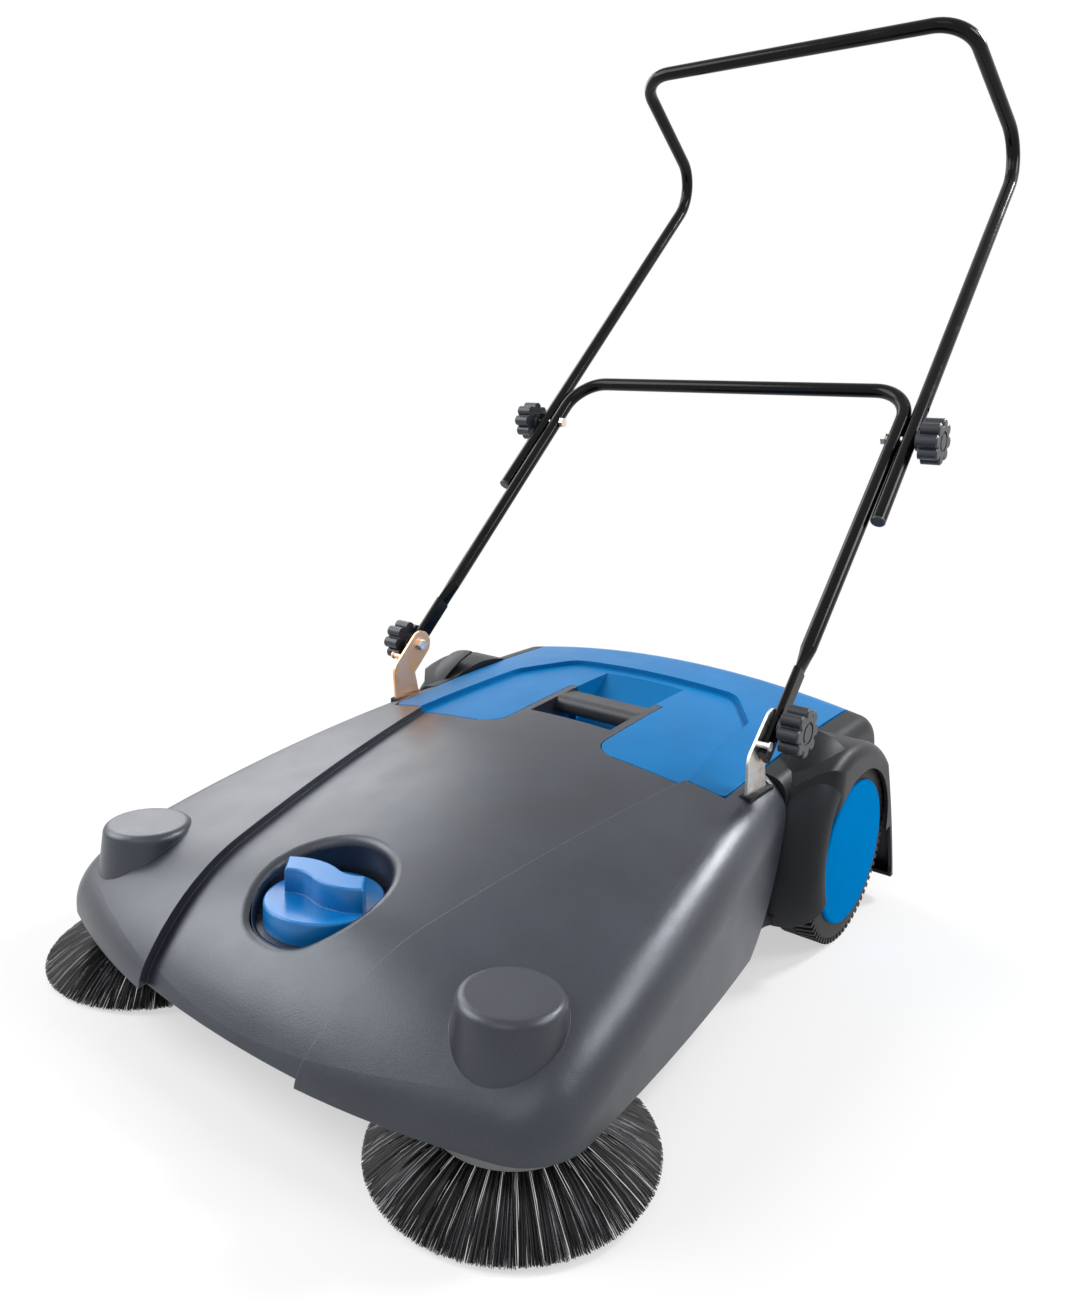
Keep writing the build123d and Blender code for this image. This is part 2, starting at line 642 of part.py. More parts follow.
def hand_pocket(grow):
    """Room for the hand under the grip, with the ramp that rises behind it."""
    with BuildPart() as pocket:
        with BuildSketch(Plane.XY.offset(POCKET_FLOOR_Z - grow)):
            add(notch_zone(grow))
        extrude(amount=FORM_HEIGHT)
        with BuildSketch(side_plane(-TONGUE_HALF + TONGUE_RAIL - grow)):
            Polygon(
                (NOTCH_END_Y - GRIP_DEPTH, POCKET_FLOOR_Z - grow),
                (NOTCH_END_Y + grow, POCKET_FLOOR_Z - grow),
                (POCKET_RAMP_END_Y + grow, POCKET_RAMP_END_Z - grow),
                (POCKET_RAMP_END_Y + grow, FORM_HEIGHT),
                (NOTCH_END_Y - GRIP_DEPTH, FORM_HEIGHT),
                align=None,
            )
        extrude(amount=2 * (TONGUE_HALF - TONGUE_RAIL + grow))
    return pocket.part


# Hopper lid: a hollow crowned cover with a lowered panel and a hand pocket
with BuildPart() as lid_cavity:
    add(lid_block(LID_WALL))
    add(hand_pocket(LID_WALL), mode=Mode.SUBTRACT)
with BuildPart() as hopper_lid:
    add(lid_block(0))
    add(hand_pocket(0), mode=Mode.SUBTRACT)
    add(lid_cavity.part, mode=Mode.SUBTRACT)
finish(hopper_lid.part, "hopper_lid")

# Hopper bin: open tub with a low front wall and a flange that carries the lid
bin_bottom_z = PAN_TOP_Z + SEAT_GAP


def bin_tub(inset):
    """The bin's tub, or its inside when inset by the wall."""
    with BuildPart() as tub:
        with BuildSketch(Plane.XY.offset(bin_bottom_z + inset)):
            with Locations((0, BIN_FRONT_Y + inset)):
                depth = BIN_REAR_Y - BIN_FRONT_Y - 2 * inset
                Rectangle(2 * (BIN_HALF - inset), depth, align=(Align.CENTER, Align.MIN))
        extrude(amount=LID_BOTTOM_Z - bin_bottom_z - inset)
        fillet(tub.edges().group_by(Axis.Z)[0], BIN_CORNER_ROUND - inset)
    return tub.part


with BuildPart() as hopper_bin:
    add(bin_tub(0))
    with BuildSketch(Plane.XY.offset(LID_BOTTOM_Z - BIN_FLANGE_THICK)):
        with Locations((0, LID_FRONT_Y)):
            Rectangle(2 * LID_HALF, BODY_REAR_Y - LID_FRONT_Y, align=(Align.CENTER, Align.MIN))
    extrude(amount=BIN_FLANGE_THICK)
    add(bin_tub(BIN_WALL), mode=Mode.SUBTRACT)
    with BuildSketch(Plane.XY.offset(BIN_LIP_Z)):
        with Locations((0, BIN_FRONT_Y + BIN_WALL)):
            Rectangle(2 * (BIN_HALF - BIN_WALL), FORM_HEIGHT, align=(Align.CENTER, Align.MAX))
    extrude(amount=LID_BOTTOM_Z - BIN_FLANGE_THICK - BIN_LIP_Z, mode=Mode.SUBTRACT)
finish(hopper_bin.part, "hopper_bin")

# Boss and bore for a broom's bush
with BuildPart() as bush_boss:
    with BuildSketch(broom_plane(BUSH_BOTTOM)):
        Circle(BUSH_RADIUS + BUSH_BOSS_WALL)
    extrude(amount=BUSH_TOP - BUSH_BOTTOM)
with BuildPart() as bush_bore:
    with BuildSketch(broom_plane(BUSH_BOTTOM)):
        Circle(BUSH_RADIUS)
    extrude(amount=BUSH_TOP - BUSH_BOTTOM, both=True)

# Chassis: side plates, pan, dirt ramp, roller tunnel, front deck, bearing bosses and bracket lugs
with BuildPart() as chassis_frame:
    with BuildSketch(side_plane(PLATE_X)):
        Polygon(
            (PLATE_FRONT_Y, PLATE_FRONT_BOTTOM_Z),
            (PLATE_FRONT_Y, DECK_TOP_Z),
            (ROLLER_Y - TUNNEL_RADIUS / 2, ROLLER_Z + TUNNEL_RADIUS),
            (RAMP_TIP_Y, ROLLER_Z + TUNNEL_RADIUS + TUNNEL_WALL),
            (LID_FRONT_Y, PLATE_TOP_Z),
            (PLATE_REAR_Y, PLATE_TOP_Z),
            (PLATE_REAR_Y, PAN_BOTTOM_Z),
            (RAMP_TIP_Y, PAN_BOTTOM_Z),
            (ROLLER_Y, PLATE_FRONT_BOTTOM_Z - PAN_THICK),
            align=None,
        )
    extrude(amount=PLATE_THICK)
    mirror(about=Plane.YZ)
    # Pan, ramp and roof of the dirt throat between the plates
    with BuildSketch(side_plane(-PLATE_X)):
        with Locations((RAMP_TOP_Y, PAN_BOTTOM_Z)):
            Rectangle(PLATE_REAR_Y - RAMP_TOP_Y, PAN_THICK, align=(Align.MIN, Align.MIN))
        Polygon(
            (RAMP_TIP_Y, RAMP_TIP_Z),
            (RAMP_TIP_Y + PAN_THICK, RAMP_TIP_Z),
            (RAMP_TOP_Y, BIN_LIP_Z - PAN_THICK),
            (RAMP_TOP_Y, PAN_BOTTOM_Z),
            (RAMP_TOP_Y + PAN_THICK, PAN_BOTTOM_Z),
            (RAMP_TOP_Y + PAN_THICK, BIN_LIP_Z),
            (RAMP_TOP_Y, BIN_LIP_Z),
            align=None,
        )
        with Locations((ROLLER_Y, ROLLER_Z)):
            Circle(TUNNEL_RADIUS + TUNNEL_WALL)
            Circle(TUNNEL_RADIUS, mode=Mode.SUBTRACT)
        with Locations((ROLLER_Y, TUNNEL_SKIRT_Z)):
            Rectangle(FORM_HEIGHT / 2, FORM_HEIGHT / 2, align=(Align.MAX, Align.MAX), mode=Mode.SUBTRACT)
        with Locations((ROLLER_Y, TUNNEL_TAIL_Z)):
            tail_depth = RAMP_TIP_Y - ROLLER_Y - PAN_THICK
            Rectangle(tail_depth, FORM_HEIGHT / 2, align=(Align.MIN, Align.MAX), mode=Mode.SUBTRACT)
        roof_y = ROLLER_Y + (TUNNEL_RADIUS**2 - (TUNNEL_TAIL_Z - ROLLER_Z) ** 2) ** 0.5
        Polygon(
            (roof_y, TUNNEL_TAIL_Z),
            (LID_FRONT_Y - PAN_THICK, PLATE_TOP_Z - PAN_THICK),
            (LID_FRONT_Y - 2 * PAN_THICK, PLATE_TOP_Z),
            (roof_y - PAN_THICK, TUNNEL_TAIL_Z + PAN_THICK),
            align=None,
        )
    extrude(amount=2 * PLATE_X)
    # Lug under the ramp's tip that the dust flap is fixed to
    with BuildSketch(side_plane(-PLATE_X)):
        with Locations((RAMP_TIP_Y + PAN_THICK, RAMP_TIP_Z)):
            Rectangle(FLAP_LUG_DEPTH, PAN_THICK, align=(Align.MIN, Align.MIN))
    extrude(amount=2 * PLATE_X)
    # Front deck
    with BuildSketch(Plane.XY.offset(DECK_Z)) as deck:
        Polygon(
            (-DECK_HALF, DECK_FRONT_Y),
            (DECK_HALF, DECK_FRONT_Y),
            (DECK_HALF, BROOM_Y + BOSS_FOOT_RADIUS),
            (PLATE_OUT_X, DECK_BACK_Y),
            (-PLATE_OUT_X, DECK_BACK_Y),
            (-DECK_HALF, BROOM_Y + BOSS_FOOT_RADIUS),
            align=None,
        )
        fillet(deck.vertices().group_by(Axis.Y)[0], DECK_CORNER_ROUND)
    extrude(amount=DECK_THICK)
    # Guide for the fork's stem
    with BuildSketch(Plane.XY.offset(FORK_GUIDE_BOTTOM_Z)):
        with Locations((0, KNOB_Y)):
            Circle(FORK_STEM_RADIUS + FORK_GUIDE_WALL)
    extrude(amount=FORK_GUIDE_TOP_Z - FORK_GUIDE_BOTTOM_Z)
    with BuildSketch(Plane.XY.offset(FORK_GUIDE_BOTTOM_Z)):
        with Locations((0, KNOB_Y)):
            Circle(FORK_STEM_RADIUS + RUN_FIT)
    extrude(amount=FORK_GUIDE_TOP_Z - FORK_GUIDE_BOTTOM_Z, mode=Mode.SUBTRACT)
    # Holes for the hood's screws
    with BuildSketch(Plane.XY.offset(DECK_Z)):
        with Locations(*post_spots):
            Circle(POST_SCREW_RADIUS)
    extrude(amount=DECK_THICK, mode=Mode.SUBTRACT)
    # Shelf and lug for each handle bracket, outside the plates
    for sign in (1, -1):
        with BuildSketch(Plane.XY.offset(LUG_SHELF_Z)):
            with Locations((sign * (PLATE_OUT_X + BRACKET_X) / 2, BRACKET_FOOT_Y)):
                Rectangle(BRACKET_X - PLATE_OUT_X, 2 * LUG_HALF_WIDTH)
        extrude(amount=LUG_THICK)
        with BuildSketch(Plane.XY.offset(LUG_SHELF_Z)):
            with Locations((sign * (BRACKET_X - LUG_THICK / 2), BRACKET_FOOT_Y)):
                Rectangle(LUG_THICK, 2 * LUG_HALF_WIDTH)
        extrude(amount=LUG_TOP_Z - LUG_SHELF_Z)
        with BuildSketch(side_plane(sign * PLATE_OUT_X)):
            with Locations(*STANDOFF_SPOTS):
                Circle(STANDOFF_RADIUS)
        extrude(amount=sign * (HOUSING_X - PLATE_OUT_X))
        with BuildSketch(side_plane(sign * PLATE_OUT_X)):
            with Locations((0, AXLE_Z)):
                Circle(AXLE_BOSS_RADIUS)
        extrude(amount=sign * AXLE_BOSS_LENGTH)
        # Bores for the stub axle, the roller bearing and the bracket screws
        with BuildSketch(side_plane(sign * PLATE_X)):
            with Locations((0, AXLE_Z)):
                Circle(AXLE_RADIUS)
            with Locations((ROLLER_Y, ROLLER_Z)):
                Circle(BEARING_RADIUS)
        extrude(amount=sign * (PLATE_THICK + AXLE_BOSS_LENGTH), mode=Mode.SUBTRACT)
        with BuildSketch(side_plane(sign * (BRACKET_X - LUG_THICK))):
            with Locations(*[(BRACKET_FOOT_Y, z) for z in BRACKET_SCREW_ZS]):
                Circle(BRACKET_SCREW_RADIUS)
        extrude(amount=sign * LUG_THICK, mode=Mode.SUBTRACT)
    # Leaning bosses for the brooms' bushes
    add([bush_boss.part, mirror(bush_boss.part, about=Plane.YZ)])
    add([bush_bore.part, mirror(bush_bore.part, about=Plane.YZ)], mode=Mode.SUBTRACT)
finish(chassis_frame.part, "chassis_frame")

# Rubber flap behind the ramp's tip, just clear of the floor
with BuildPart() as dust_flap:
    with BuildSketch(side_plane(-PLATE_X)):
        with Locations((RAMP_TIP_Y + PAN_THICK + FLAP_LUG_DEPTH, FLAP_GROUND_GAP)):
            Rectangle(FLAP_THICK, RAMP_TIP_Z + PAN_THICK - FLAP_GROUND_GAP, align=(Align.MIN, Align.MIN))
    extrude(amount=2 * PLATE_X)
finish(dust_flap.part, "dust_flap")


# Shoulder beside the lid, under the same crowned top, and the room inside it
shoulder_front_y = HOOD_EDGE_TOP_Y + PANEL_GAP
with BuildPart() as shoulder:
    with BuildSketch(Plane.XY.offset(SHOULDER_FOOT_Z)):
        with Locations((HOUSING_X, shoulder_front_y)):
            Rectangle(SHOULDER_X - HOUSING_X, BODY_REAR_Y - shoulder_front_y, align=(Align.MIN, Align.MIN))
    extrude(amount=FORM_HEIGHT)
    add(crown_solid(0, 0), mode=Mode.INTERSECT)
    outer_edges = shoulder.edges().group_by(Axis.X)[-1]
    fillet(outer_edges.sort_by(Axis.Z)[-2:], SHOULDER_ROUND)
with BuildPart() as shoulder_room:
    with BuildSketch(Plane.XY.offset(SHOULDER_FOOT_Z)):
        with Locations((HOUSING_X + HOUSING_WALL, shoulder_front_y + HOUSING_WALL)):
            room_depth = BODY_REAR_Y - shoulder_front_y - 2 * HOUSING_WALL
            Rectangle(SHOULDER_X - HOUSING_X - SHOULDER_ROUND, room_depth, align=(Align.MIN, Align.MIN))
    extrude(amount=FORM_HEIGHT)
    add(crown_solid(2 * HOUSING_WALL, 1.5 * HOUSING_WALL), mode=Mode.INTERSECT)


def arch_form(inset):
    """Wheel arch with the concave fairing that leads into it, as a solid."""
    x1 = ARCH_X - inset
    with BuildPart() as arch:
        with BuildSketch(side_plane(HOUSING_X + inset)):
            with BuildLine():
                front = Polyline(
                    (ARCH_FRONT_Y, ARCH_FOOT_Z),
                    (ARCH_FRONT_Y, ARCH_FRONT_TOP_Z),
                    (HOOD_EDGE_TOP_Y, ARCH_HOOD_Z),
                )
                crown = ThreePointArc(front @ 1, (ARCH_CROWN_Y, ARCH_CROWN_Z), (ARCH_TAIL_Y, ARCH_TAIL_Z))
                skirt = ThreePointArc(crown @ 1, (SKIRT_MID_Y, SKIRT_MID_Z), (SKIRT_END_Y, SKIRT_END_Z))
                Line(skirt @ 1, front @ 0)
            make_face()
            if inset > 0:
                offset(amount=-inset)
        extrude(amount=x1 - HOUSING_X - inset)
        fillet(arch.edges().group_by(Axis.X)[-1].filter_by(GeomType.CIRCLE), ARCH_EDGE_ROUND - inset)
        with BuildSketch():
            with BuildLine():
                outside = FilletPolyline(
                    (ARCH_FRONT_X - inset, ARCH_FRONT_Y),
                    (ARCH_FRONT_X - inset, ARCH_FLARE_Y + inset / 2),
                    (x1, ARCH_FULL_Y + inset / 2),
                    (x1, SKIRT_END_Y),
                    radius=ARCH_FLARE_ROUND,
                )
                Polyline(outside @ 1, (0, SKIRT_END_Y), (0, ARCH_FRONT_Y), outside @ 0)
            make_face()
        extrude(amount=FORM_HEIGHT, mode=Mode.INTERSECT)
    return arch.part


# Wheel housing: shoulder, arch and fairing in one moulding, open towards the wheel
with BuildPart() as housing_cavity:
    add(shoulder_room.part)
    add(arch_form(HOUSING_WALL))
    with BuildSketch(side_plane(HOUSING_X + HOUSING_WALL)):
        with Locations((0, AXLE_Z)):
            Circle(WHEEL_RADIUS + WELL_CLEARANCE)
    extrude(amount=ARCH_X - HOUSING_X - 2 * HOUSING_WALL)
with BuildPart() as wheel_housing:
    add(shoulder.part)
    add(arch_form(0))
    add(housing_cavity.part, mode=Mode.SUBTRACT)
    # Opening in the outer lip
    with BuildSketch(side_plane(ARCH_X - HOUSING_WALL)):
        with Locations((0, AXLE_Z)):
            Circle(LIP_RADIUS)
    extrude(amount=HOUSING_WALL, mode=Mode.SUBTRACT)
    with BuildSketch(side_plane(HOUSING_X + HOUSING_WALL)):
        Polygon(
            (-((LIP_RADIUS**2 - (AXLE_Z - LIP_FRONT_Z) ** 2) ** 0.5), LIP_FRONT_Z),
            (LIP_FRONT_FOOT_Y, FAIRING_FOOT_Z),
            (ARCH_FRONT_Y, FAIRING_FOOT_Z),
            (ARCH_FRONT_Y, FORM_BASE_Z),
            (LIP_FOOT_Y, FORM_BASE_Z),
            (LIP_FOOT_Y, ARCH_FOOT_Z),
            (LIP_REAR_Y, AXLE_Z),
            align=None,
        )
    extrude(amount=ARCH_X - HOUSING_X, mode=Mode.SUBTRACT)
    # Inner flange stops short of the hood and leaves room for the hub and the belt
    with BuildSketch(side_plane(HOUSING_X)):
        with Locations((0, AXLE_Z)):
            Circle(FLANGE_HOLE_RADIUS)
        with Locations((0, FLANGE_BOTTOM_Z)):
            Rectangle(FORM_HEIGHT, FORM_HEIGHT, align=(Align.CENTER, Align.MAX))
    extrude(amount=HOUSING_WALL, mode=Mode.SUBTRACT)
    with BuildSketch(side_plane(HOUSING_X)):
        with Locations((FLANGE_FRONT_Y, 0)):
            Rectangle(FORM_HEIGHT, FORM_HEIGHT, align=(Align.MAX, Align.CENTER))
    extrude(amount=ARCH_FRONT_X - HOUSING_WALL - HOUSING_X, mode=Mode.SUBTRACT)
finish_pair(wheel_housing.part, "wheel_housing")

# Screws through the housings' flanges into the chassis stand-offs
with BuildPart() as housing_screws:
    for sign in (1, -1):
        with BuildSketch(side_plane(sign * (HOUSING_X + HOUSING_WALL))):
            with Locations(*STANDOFF_SPOTS):
                Circle(STANDOFF_RADIUS)
        extrude(amount=sign * HOUSING_SCREW_HEAD)
finish(housing_screws.part, "housing_screws")

# Tyre: carcass with two staggered rows of tread lugs
with BuildPart() as tyre:
    with BuildSketch(side_plane(TYRE_FACE_X)):
        with Locations((0, AXLE_Z)):
            Circle(WHEEL_RADIUS - TREAD_DEPTH)
            Circle(RIM_RADIUS, mode=Mode.SUBTRACT)
    extrude(amount=-TYRE_WIDTH)
    fillet(tyre.edges().filter_by(GeomType.CIRCLE).sort_by(SortBy.RADIUS)[-2:], TYRE_EDGE_ROUND)
    row_width = (TYRE_WIDTH - TREAD_GROOVE) / 2 - TREAD_SHOULDER
    lug_pitch = 360 / TREAD_LUGS
    gap_width = radians(lug_pitch) * WHEEL_RADIUS * (1 - TREAD_LUG_SHARE)
    outer_row_x = TYRE_FACE_X - TREAD_SHOULDER
    inner_row_x = TYRE_FACE_X - TYRE_WIDTH / 2 - TREAD_GROOVE / 2
    for row_x, shift in ((outer_row_x, 0), (inner_row_x, 1)):
        with BuildSketch(side_plane(row_x)):
            with Locations((0, AXLE_Z)):
                Circle(WHEEL_RADIUS)
                Circle(WHEEL_RADIUS - 2 * TREAD_DEPTH, mode=Mode.SUBTRACT)
                with PolarLocations(WHEEL_RADIUS, TREAD_LUGS, start_angle=shift * lug_pitch / 2):
                    Rectangle(2 * TREAD_DEPTH, gap_width, mode=Mode.SUBTRACT)
        extrude(amount=-row_width)
finish_pair(tyre.part, "tyre")

# Wheel: rim band, web with ribs, and hub
with BuildPart() as wheel_rim:
    with BuildSketch(side_plane(TYRE_FACE_X)):
        with Locations((0, AXLE_Z)):
            Circle(RIM_RADIUS)
            Circle(RIM_RADIUS - RIM_BAND, mode=Mode.SUBTRACT)
    extrude(amount=-TYRE_WIDTH)
    with BuildSketch(side_plane(TYRE_FACE_X - TYRE_WIDTH / 2)):
        with Locations((0, AXLE_Z)):
            Circle(RIM_RADIUS - RIM_BAND / 2)
    extrude(amount=RIM_WEB_THICK / 2, both=True)
    with BuildSketch(side_plane(TYRE_FACE_X - TYRE_WIDTH / 2)):
        with Locations((0, AXLE_Z)):
            with PolarLocations((RIM_RADIUS + RIM_HUB_RADIUS) / 2 - RIM_BAND, RIM_RIBS):
                Rectangle(RIM_RADIUS - RIM_HUB_RADIUS, RIM_WEB_THICK)
    extrude(amount=TYRE_WIDTH / 3, both=True)
    with BuildSketch(side_plane(HUB_INNER_X)):
        with Locations((0, AXLE_Z)):
            Circle(RIM_HUB_RADIUS)
    extrude(amount=HUB_OUTER_X - HUB_INNER_X)
    with BuildSketch(side_plane(HUB_INNER_X)):
        with Locations((0, AXLE_Z)):
            Circle(AXLE_RADIUS + RUN_FIT)
    extrude(amount=TYRE_WIDTH * 2, mode=Mode.SUBTRACT)
finish_pair(wheel_rim.part, "wheel_rim")

# Hubcap: flat cover with a rounded edge that snaps into the rim band
with BuildPart() as hubcap:
    with BuildSketch(side_plane(TYRE_FACE_X)):
        with Locations((0, AXLE_Z)):
            Circle(HUBCAP_RADIUS)
    extrude(amount=HUBCAP_THICK)
    fillet(hubcap.edges().group_by(Axis.X)[-1], HUBCAP_EDGE_ROUND)
    with BuildSketch(side_plane(TYRE_FACE_X)):
        with Locations((0, AXLE_Z)):
            Circle(RIM_RADIUS - RIM_BAND)
            Circle(RIM_RADIUS - 1.5 * RIM_BAND, mode=Mode.SUBTRACT)
    extrude(amount=-HUBCAP_SNAP)
finish_pair(hubcap.part, "hubcap")

# Stub axles riveted into the side plates, and the washers that keep the wheels on
with BuildPart() as stub_axles:
    with BuildSketch(side_plane(PLATE_X)):
        with Locations((0, AXLE_Z)):
            Circle(AXLE_HEAD_RADIUS)
    extrude(amount=-AXLE_HEAD_THICK)
    with BuildSketch(side_plane(PLATE_X)):
        with Locations((0, AXLE_Z)):
            Circle(AXLE_RADIUS)
    extrude(amount=AXLE_END_X - PLATE_X)
    mirror(about=Plane.YZ)
finish(stub_axles.part, "stub_axles")
with BuildPart() as wheel_clips:
    with BuildSketch(side_plane(HUB_OUTER_X + SEAT_GAP)):
        with Locations((0, AXLE_Z)):
            Circle(AXLE_CLIP_RADIUS)
            Circle(AXLE_RADIUS, mode=Mode.SUBTRACT)
    extrude(amount=AXLE_CLIP_THICK)
    mirror(about=Plane.YZ)
finish(wheel_clips.part, "wheel_clips")


def pulley(base, width, pitch, mouth, bore, sleeve_start, sleeve_end):
    """Grooved pulley in the middle of base, on a sleeve along base's normal."""
    bottom = pitch - BELT_RADIUS - SEAT_GAP
    rim = pitch + PULLEY_RIM
    with BuildPart() as wheel:
        with BuildSketch(base):
            Circle(rim)
        extrude(amount=width / 2, both=True)
        with BuildSketch(Plane(origin=base.origin, x_dir=base.x_dir, z_dir=-base.y_dir)):
            Polygon(
                (bottom, -GROOVE_FLOOR / 2),
                (rim, -mouth / 2),
                (rim, mouth / 2),
                (bottom, GROOVE_FLOOR / 2),
                align=None,
            )
        revolve(axis=Axis(base.origin, base.z_dir), mode=Mode.SUBTRACT)
        with BuildSketch(base.offset(sleeve_start)):
            Circle(min(PULLEY_SLEEVE_RADIUS, bottom))
        extrude(amount=sleeve_end - sleeve_start)
        with BuildSketch(base.offset(sleeve_start)):
            Circle(bore)
        extrude(amount=sleeve_end - sleeve_start, mode=Mode.SUBTRACT)
    return wheel.part


# Pulley and spacer on the wheels' inner sides
boss_face_x = PLATE_OUT_X + AXLE_BOSS_LENGTH
hub_plane = Plane(origin=(WHEEL_BELT_X, 0, AXLE_Z), x_dir=(0, 1, 0), z_dir=(1, 0, 0))
wheel_pulley = pulley(
    hub_plane,
    PULLEY_WIDTH,
    WHEEL_PULLEY_PITCH,
    GROOVE_MOUTH,
    AXLE_RADIUS + RUN_FIT,
    boss_face_x + SEAT_GAP - WHEEL_BELT_X,
    HUB_INNER_X - WHEEL_BELT_X,
)
finish(wheel_pulley, "wheel_pulley")
with BuildPart() as wheel_spacer:
    with BuildSketch(side_plane(-HUB_INNER_X)):
        with Locations((0, AXLE_Z)):
            Circle(AXLE_BOSS_RADIUS)
            Circle(AXLE_RADIUS + RUN_FIT, mode=Mode.SUBTRACT)
    extrude(amount=HUB_INNER_X - boss_face_x - SEAT_GAP)
finish(wheel_spacer.part, "wheel_spacer")

# Sweeping roller: shaft, core, bristles, pulleys and bearings
with BuildPart() as roller_shaft:
    with BuildSketch(side_plane(-ROLLER_SHAFT_END_X)):
        with Locations((ROLLER_Y, ROLLER_Z)):
            Circle(ROLLER_SHAFT_RADIUS)
    extrude(amount=2 * ROLLER_SHAFT_END_X)
finish(roller_shaft.part, "roller_shaft")
with BuildPart() as roller_core:
    with BuildSketch(side_plane(-ROLLER_HALF)):
        with Locations((ROLLER_Y, ROLLER_Z)):
            Circle(ROLLER_CORE_RADIUS)
            Circle(ROLLER_SHAFT_RADIUS, mode=Mode.SUBTRACT)
    extrude(amount=2 * ROLLER_HALF)
finish(roller_core.part, "roller_core")
strand_planes = []
strand_root_radius = ROLLER_CORE_RADIUS + ROLLER_BACKING / 2
for row in range(ROLLER_ROWS):
    for place in range(ROLLER_ROW_STRANDS):
        share = (place + 0.5) / ROLLER_ROW_STRANDS
        turn = radians(360 / ROLLER_ROWS * row + ROLLER_ROW_TWIST * share)
        out = Vector(0, cos(turn), sin(turn))
        root = Vector(ROLLER_HALF * (2 * share - 1), ROLLER_Y, ROLLER_Z) + out * strand_root_radius
        strand_planes.append(Plane(origin=root, x_dir=(1, 0, 0), z_dir=out))
with BuildPart() as roller_bristles:
    with BuildSketch(side_plane(-ROLLER_HALF)):
        with Locations((ROLLER_Y, ROLLER_Z)):
            Circle(ROLLER_CORE_RADIUS + ROLLER_BACKING)
            Circle(ROLLER_CORE_RADIUS, mode=Mode.SUBTRACT)
    extrude(amount=2 * ROLLER_HALF)
    with BuildSketch(*strand_planes):
        RegularPolygon(ROLLER_STRAND_RADIUS, 3)
    extrude(amount=ROLLER_TIP_RADIUS - strand_root_radius)
finish(roller_bristles.part, "roller_bristles")
bearing_nose_x = PLATE_OUT_X + BEARING_NOSE
with BuildPart() as roller_bearings:
    with BuildSketch(side_plane(PLATE_X - BEARING_FLANGE_THICK)):
        with Locations((ROLLER_Y, ROLLER_Z)):
            Circle(BEARING_FLANGE_RADIUS)
    extrude(amount=BEARING_FLANGE_THICK)
    with BuildSketch(side_plane(PLATE_X)):
        with Locations((ROLLER_Y, ROLLER_Z)):
            Circle(BEARING_RADIUS)
    extrude(amount=bearing_nose_x - PLATE_X)
    with BuildSketch(side_plane(PLATE_X - BEARING_FLANGE_THICK)):
        with Locations((ROLLER_Y, ROLLER_Z)):
            Circle(ROLLER_SHAFT_RADIUS + RUN_FIT)
    extrude(amount=bearing_nose_x - PLATE_X + BEARING_FLANGE_THICK, mode=Mode.SUBTRACT)
    mirror(about=Plane.YZ)
finish(roller_bearings.part, "roller_bearings")
roller_drive_plane = Plane(origin=(WHEEL_BELT_X, ROLLER_Y, ROLLER_Z), x_dir=(0, 1, 0), z_dir=(1, 0, 0))
roller_broom_plane = Plane(origin=(BROOM_BELT_X, ROLLER_Y, ROLLER_Z), x_dir=(0, 1, 0), z_dir=(1, 0, 0))
roller_pulley_end = ROLLER_SHAFT_END_X - BROOM_BELT_X - SEAT_GAP
roller_broom_pulley = pulley(
    roller_broom_plane,
    PULLEY_WIDTH,
    ROLLER_PULLEY_PITCH,
    GROOVE_MOUTH,
    ROLLER_SHAFT_RADIUS,
    bearing_nose_x + SEAT_GAP - BROOM_BELT_X,
    roller_pulley_end,
)
finish(mirror(roller_broom_pulley, about=Plane.YZ), "left_roller_pulley")
roller_drive_pulley = pulley(
    roller_drive_plane,
    PULLEY_WIDTH,
    ROLLER_PULLEY_PITCH,
    GROOVE_MOUTH,
    ROLLER_SHAFT_RADIUS,
    bearing_nose_x + SEAT_GAP - WHEEL_BELT_X,
    PULLEY_WIDTH / 2,
)
with BuildPart() as right_roller_pulley:
    add(roller_broom_pulley)
    add(roller_drive_pulley)
finish(right_roller_pulley.part, "right_roller_pulley")

# Side brooms: spindle, hub, bristles and pulley turn together in a bush
with BuildPart() as broom_spindle:
    with BuildSketch(broom_plane(BROOM_HUB_BOTTOM - BROOM_BACKING_THICK)):
        Circle(SPINDLE_NUT_RADIUS)
    extrude(amount=BROOM_BACKING_THICK)
    with BuildSketch(broom_plane(BROOM_HUB_BOTTOM)):
        Circle(SPINDLE_RADIUS)
    extrude(amount=BUSH_TOP + SEAT_GAP + SPINDLE_NUT_THICK - BROOM_HUB_BOTTOM)
    with BuildSketch(broom_plane(BUSH_TOP + SEAT_GAP)):
        Circle(SPINDLE_NUT_RADIUS)
    extrude(amount=SPINDLE_NUT_THICK)
finish_pair(broom_spindle.part, "broom_spindle")
with BuildPart() as broom_hub:
    with BuildSketch(broom_plane(BROOM_HUB_BOTTOM)):
        Circle(BROOM_HUB_RADIUS)
    extrude(amount=BROOM_HUB_THICK)
    fillet(broom_hub.edges().group_by(Axis.Z)[-1], BROOM_HUB_THICK / 3)
    with BuildSketch(broom_plane(BROOM_HUB_BOTTOM + BROOM_HUB_THICK)):
        Circle(BROOM_HUB_NECK_RADIUS)
    extrude(amount=BROOM_NECK_TOP - BROOM_HUB_BOTTOM - BROOM_HUB_THICK)
    with BuildSketch(broom_plane(BROOM_HUB_BOTTOM)):
        Circle(SPINDLE_RADIUS)
    extrude(amount=BROOM_NECK_TOP - BROOM_HUB_BOTTOM, mode=Mode.SUBTRACT)
finish_pair(broom_hub.part, "broom_hub")
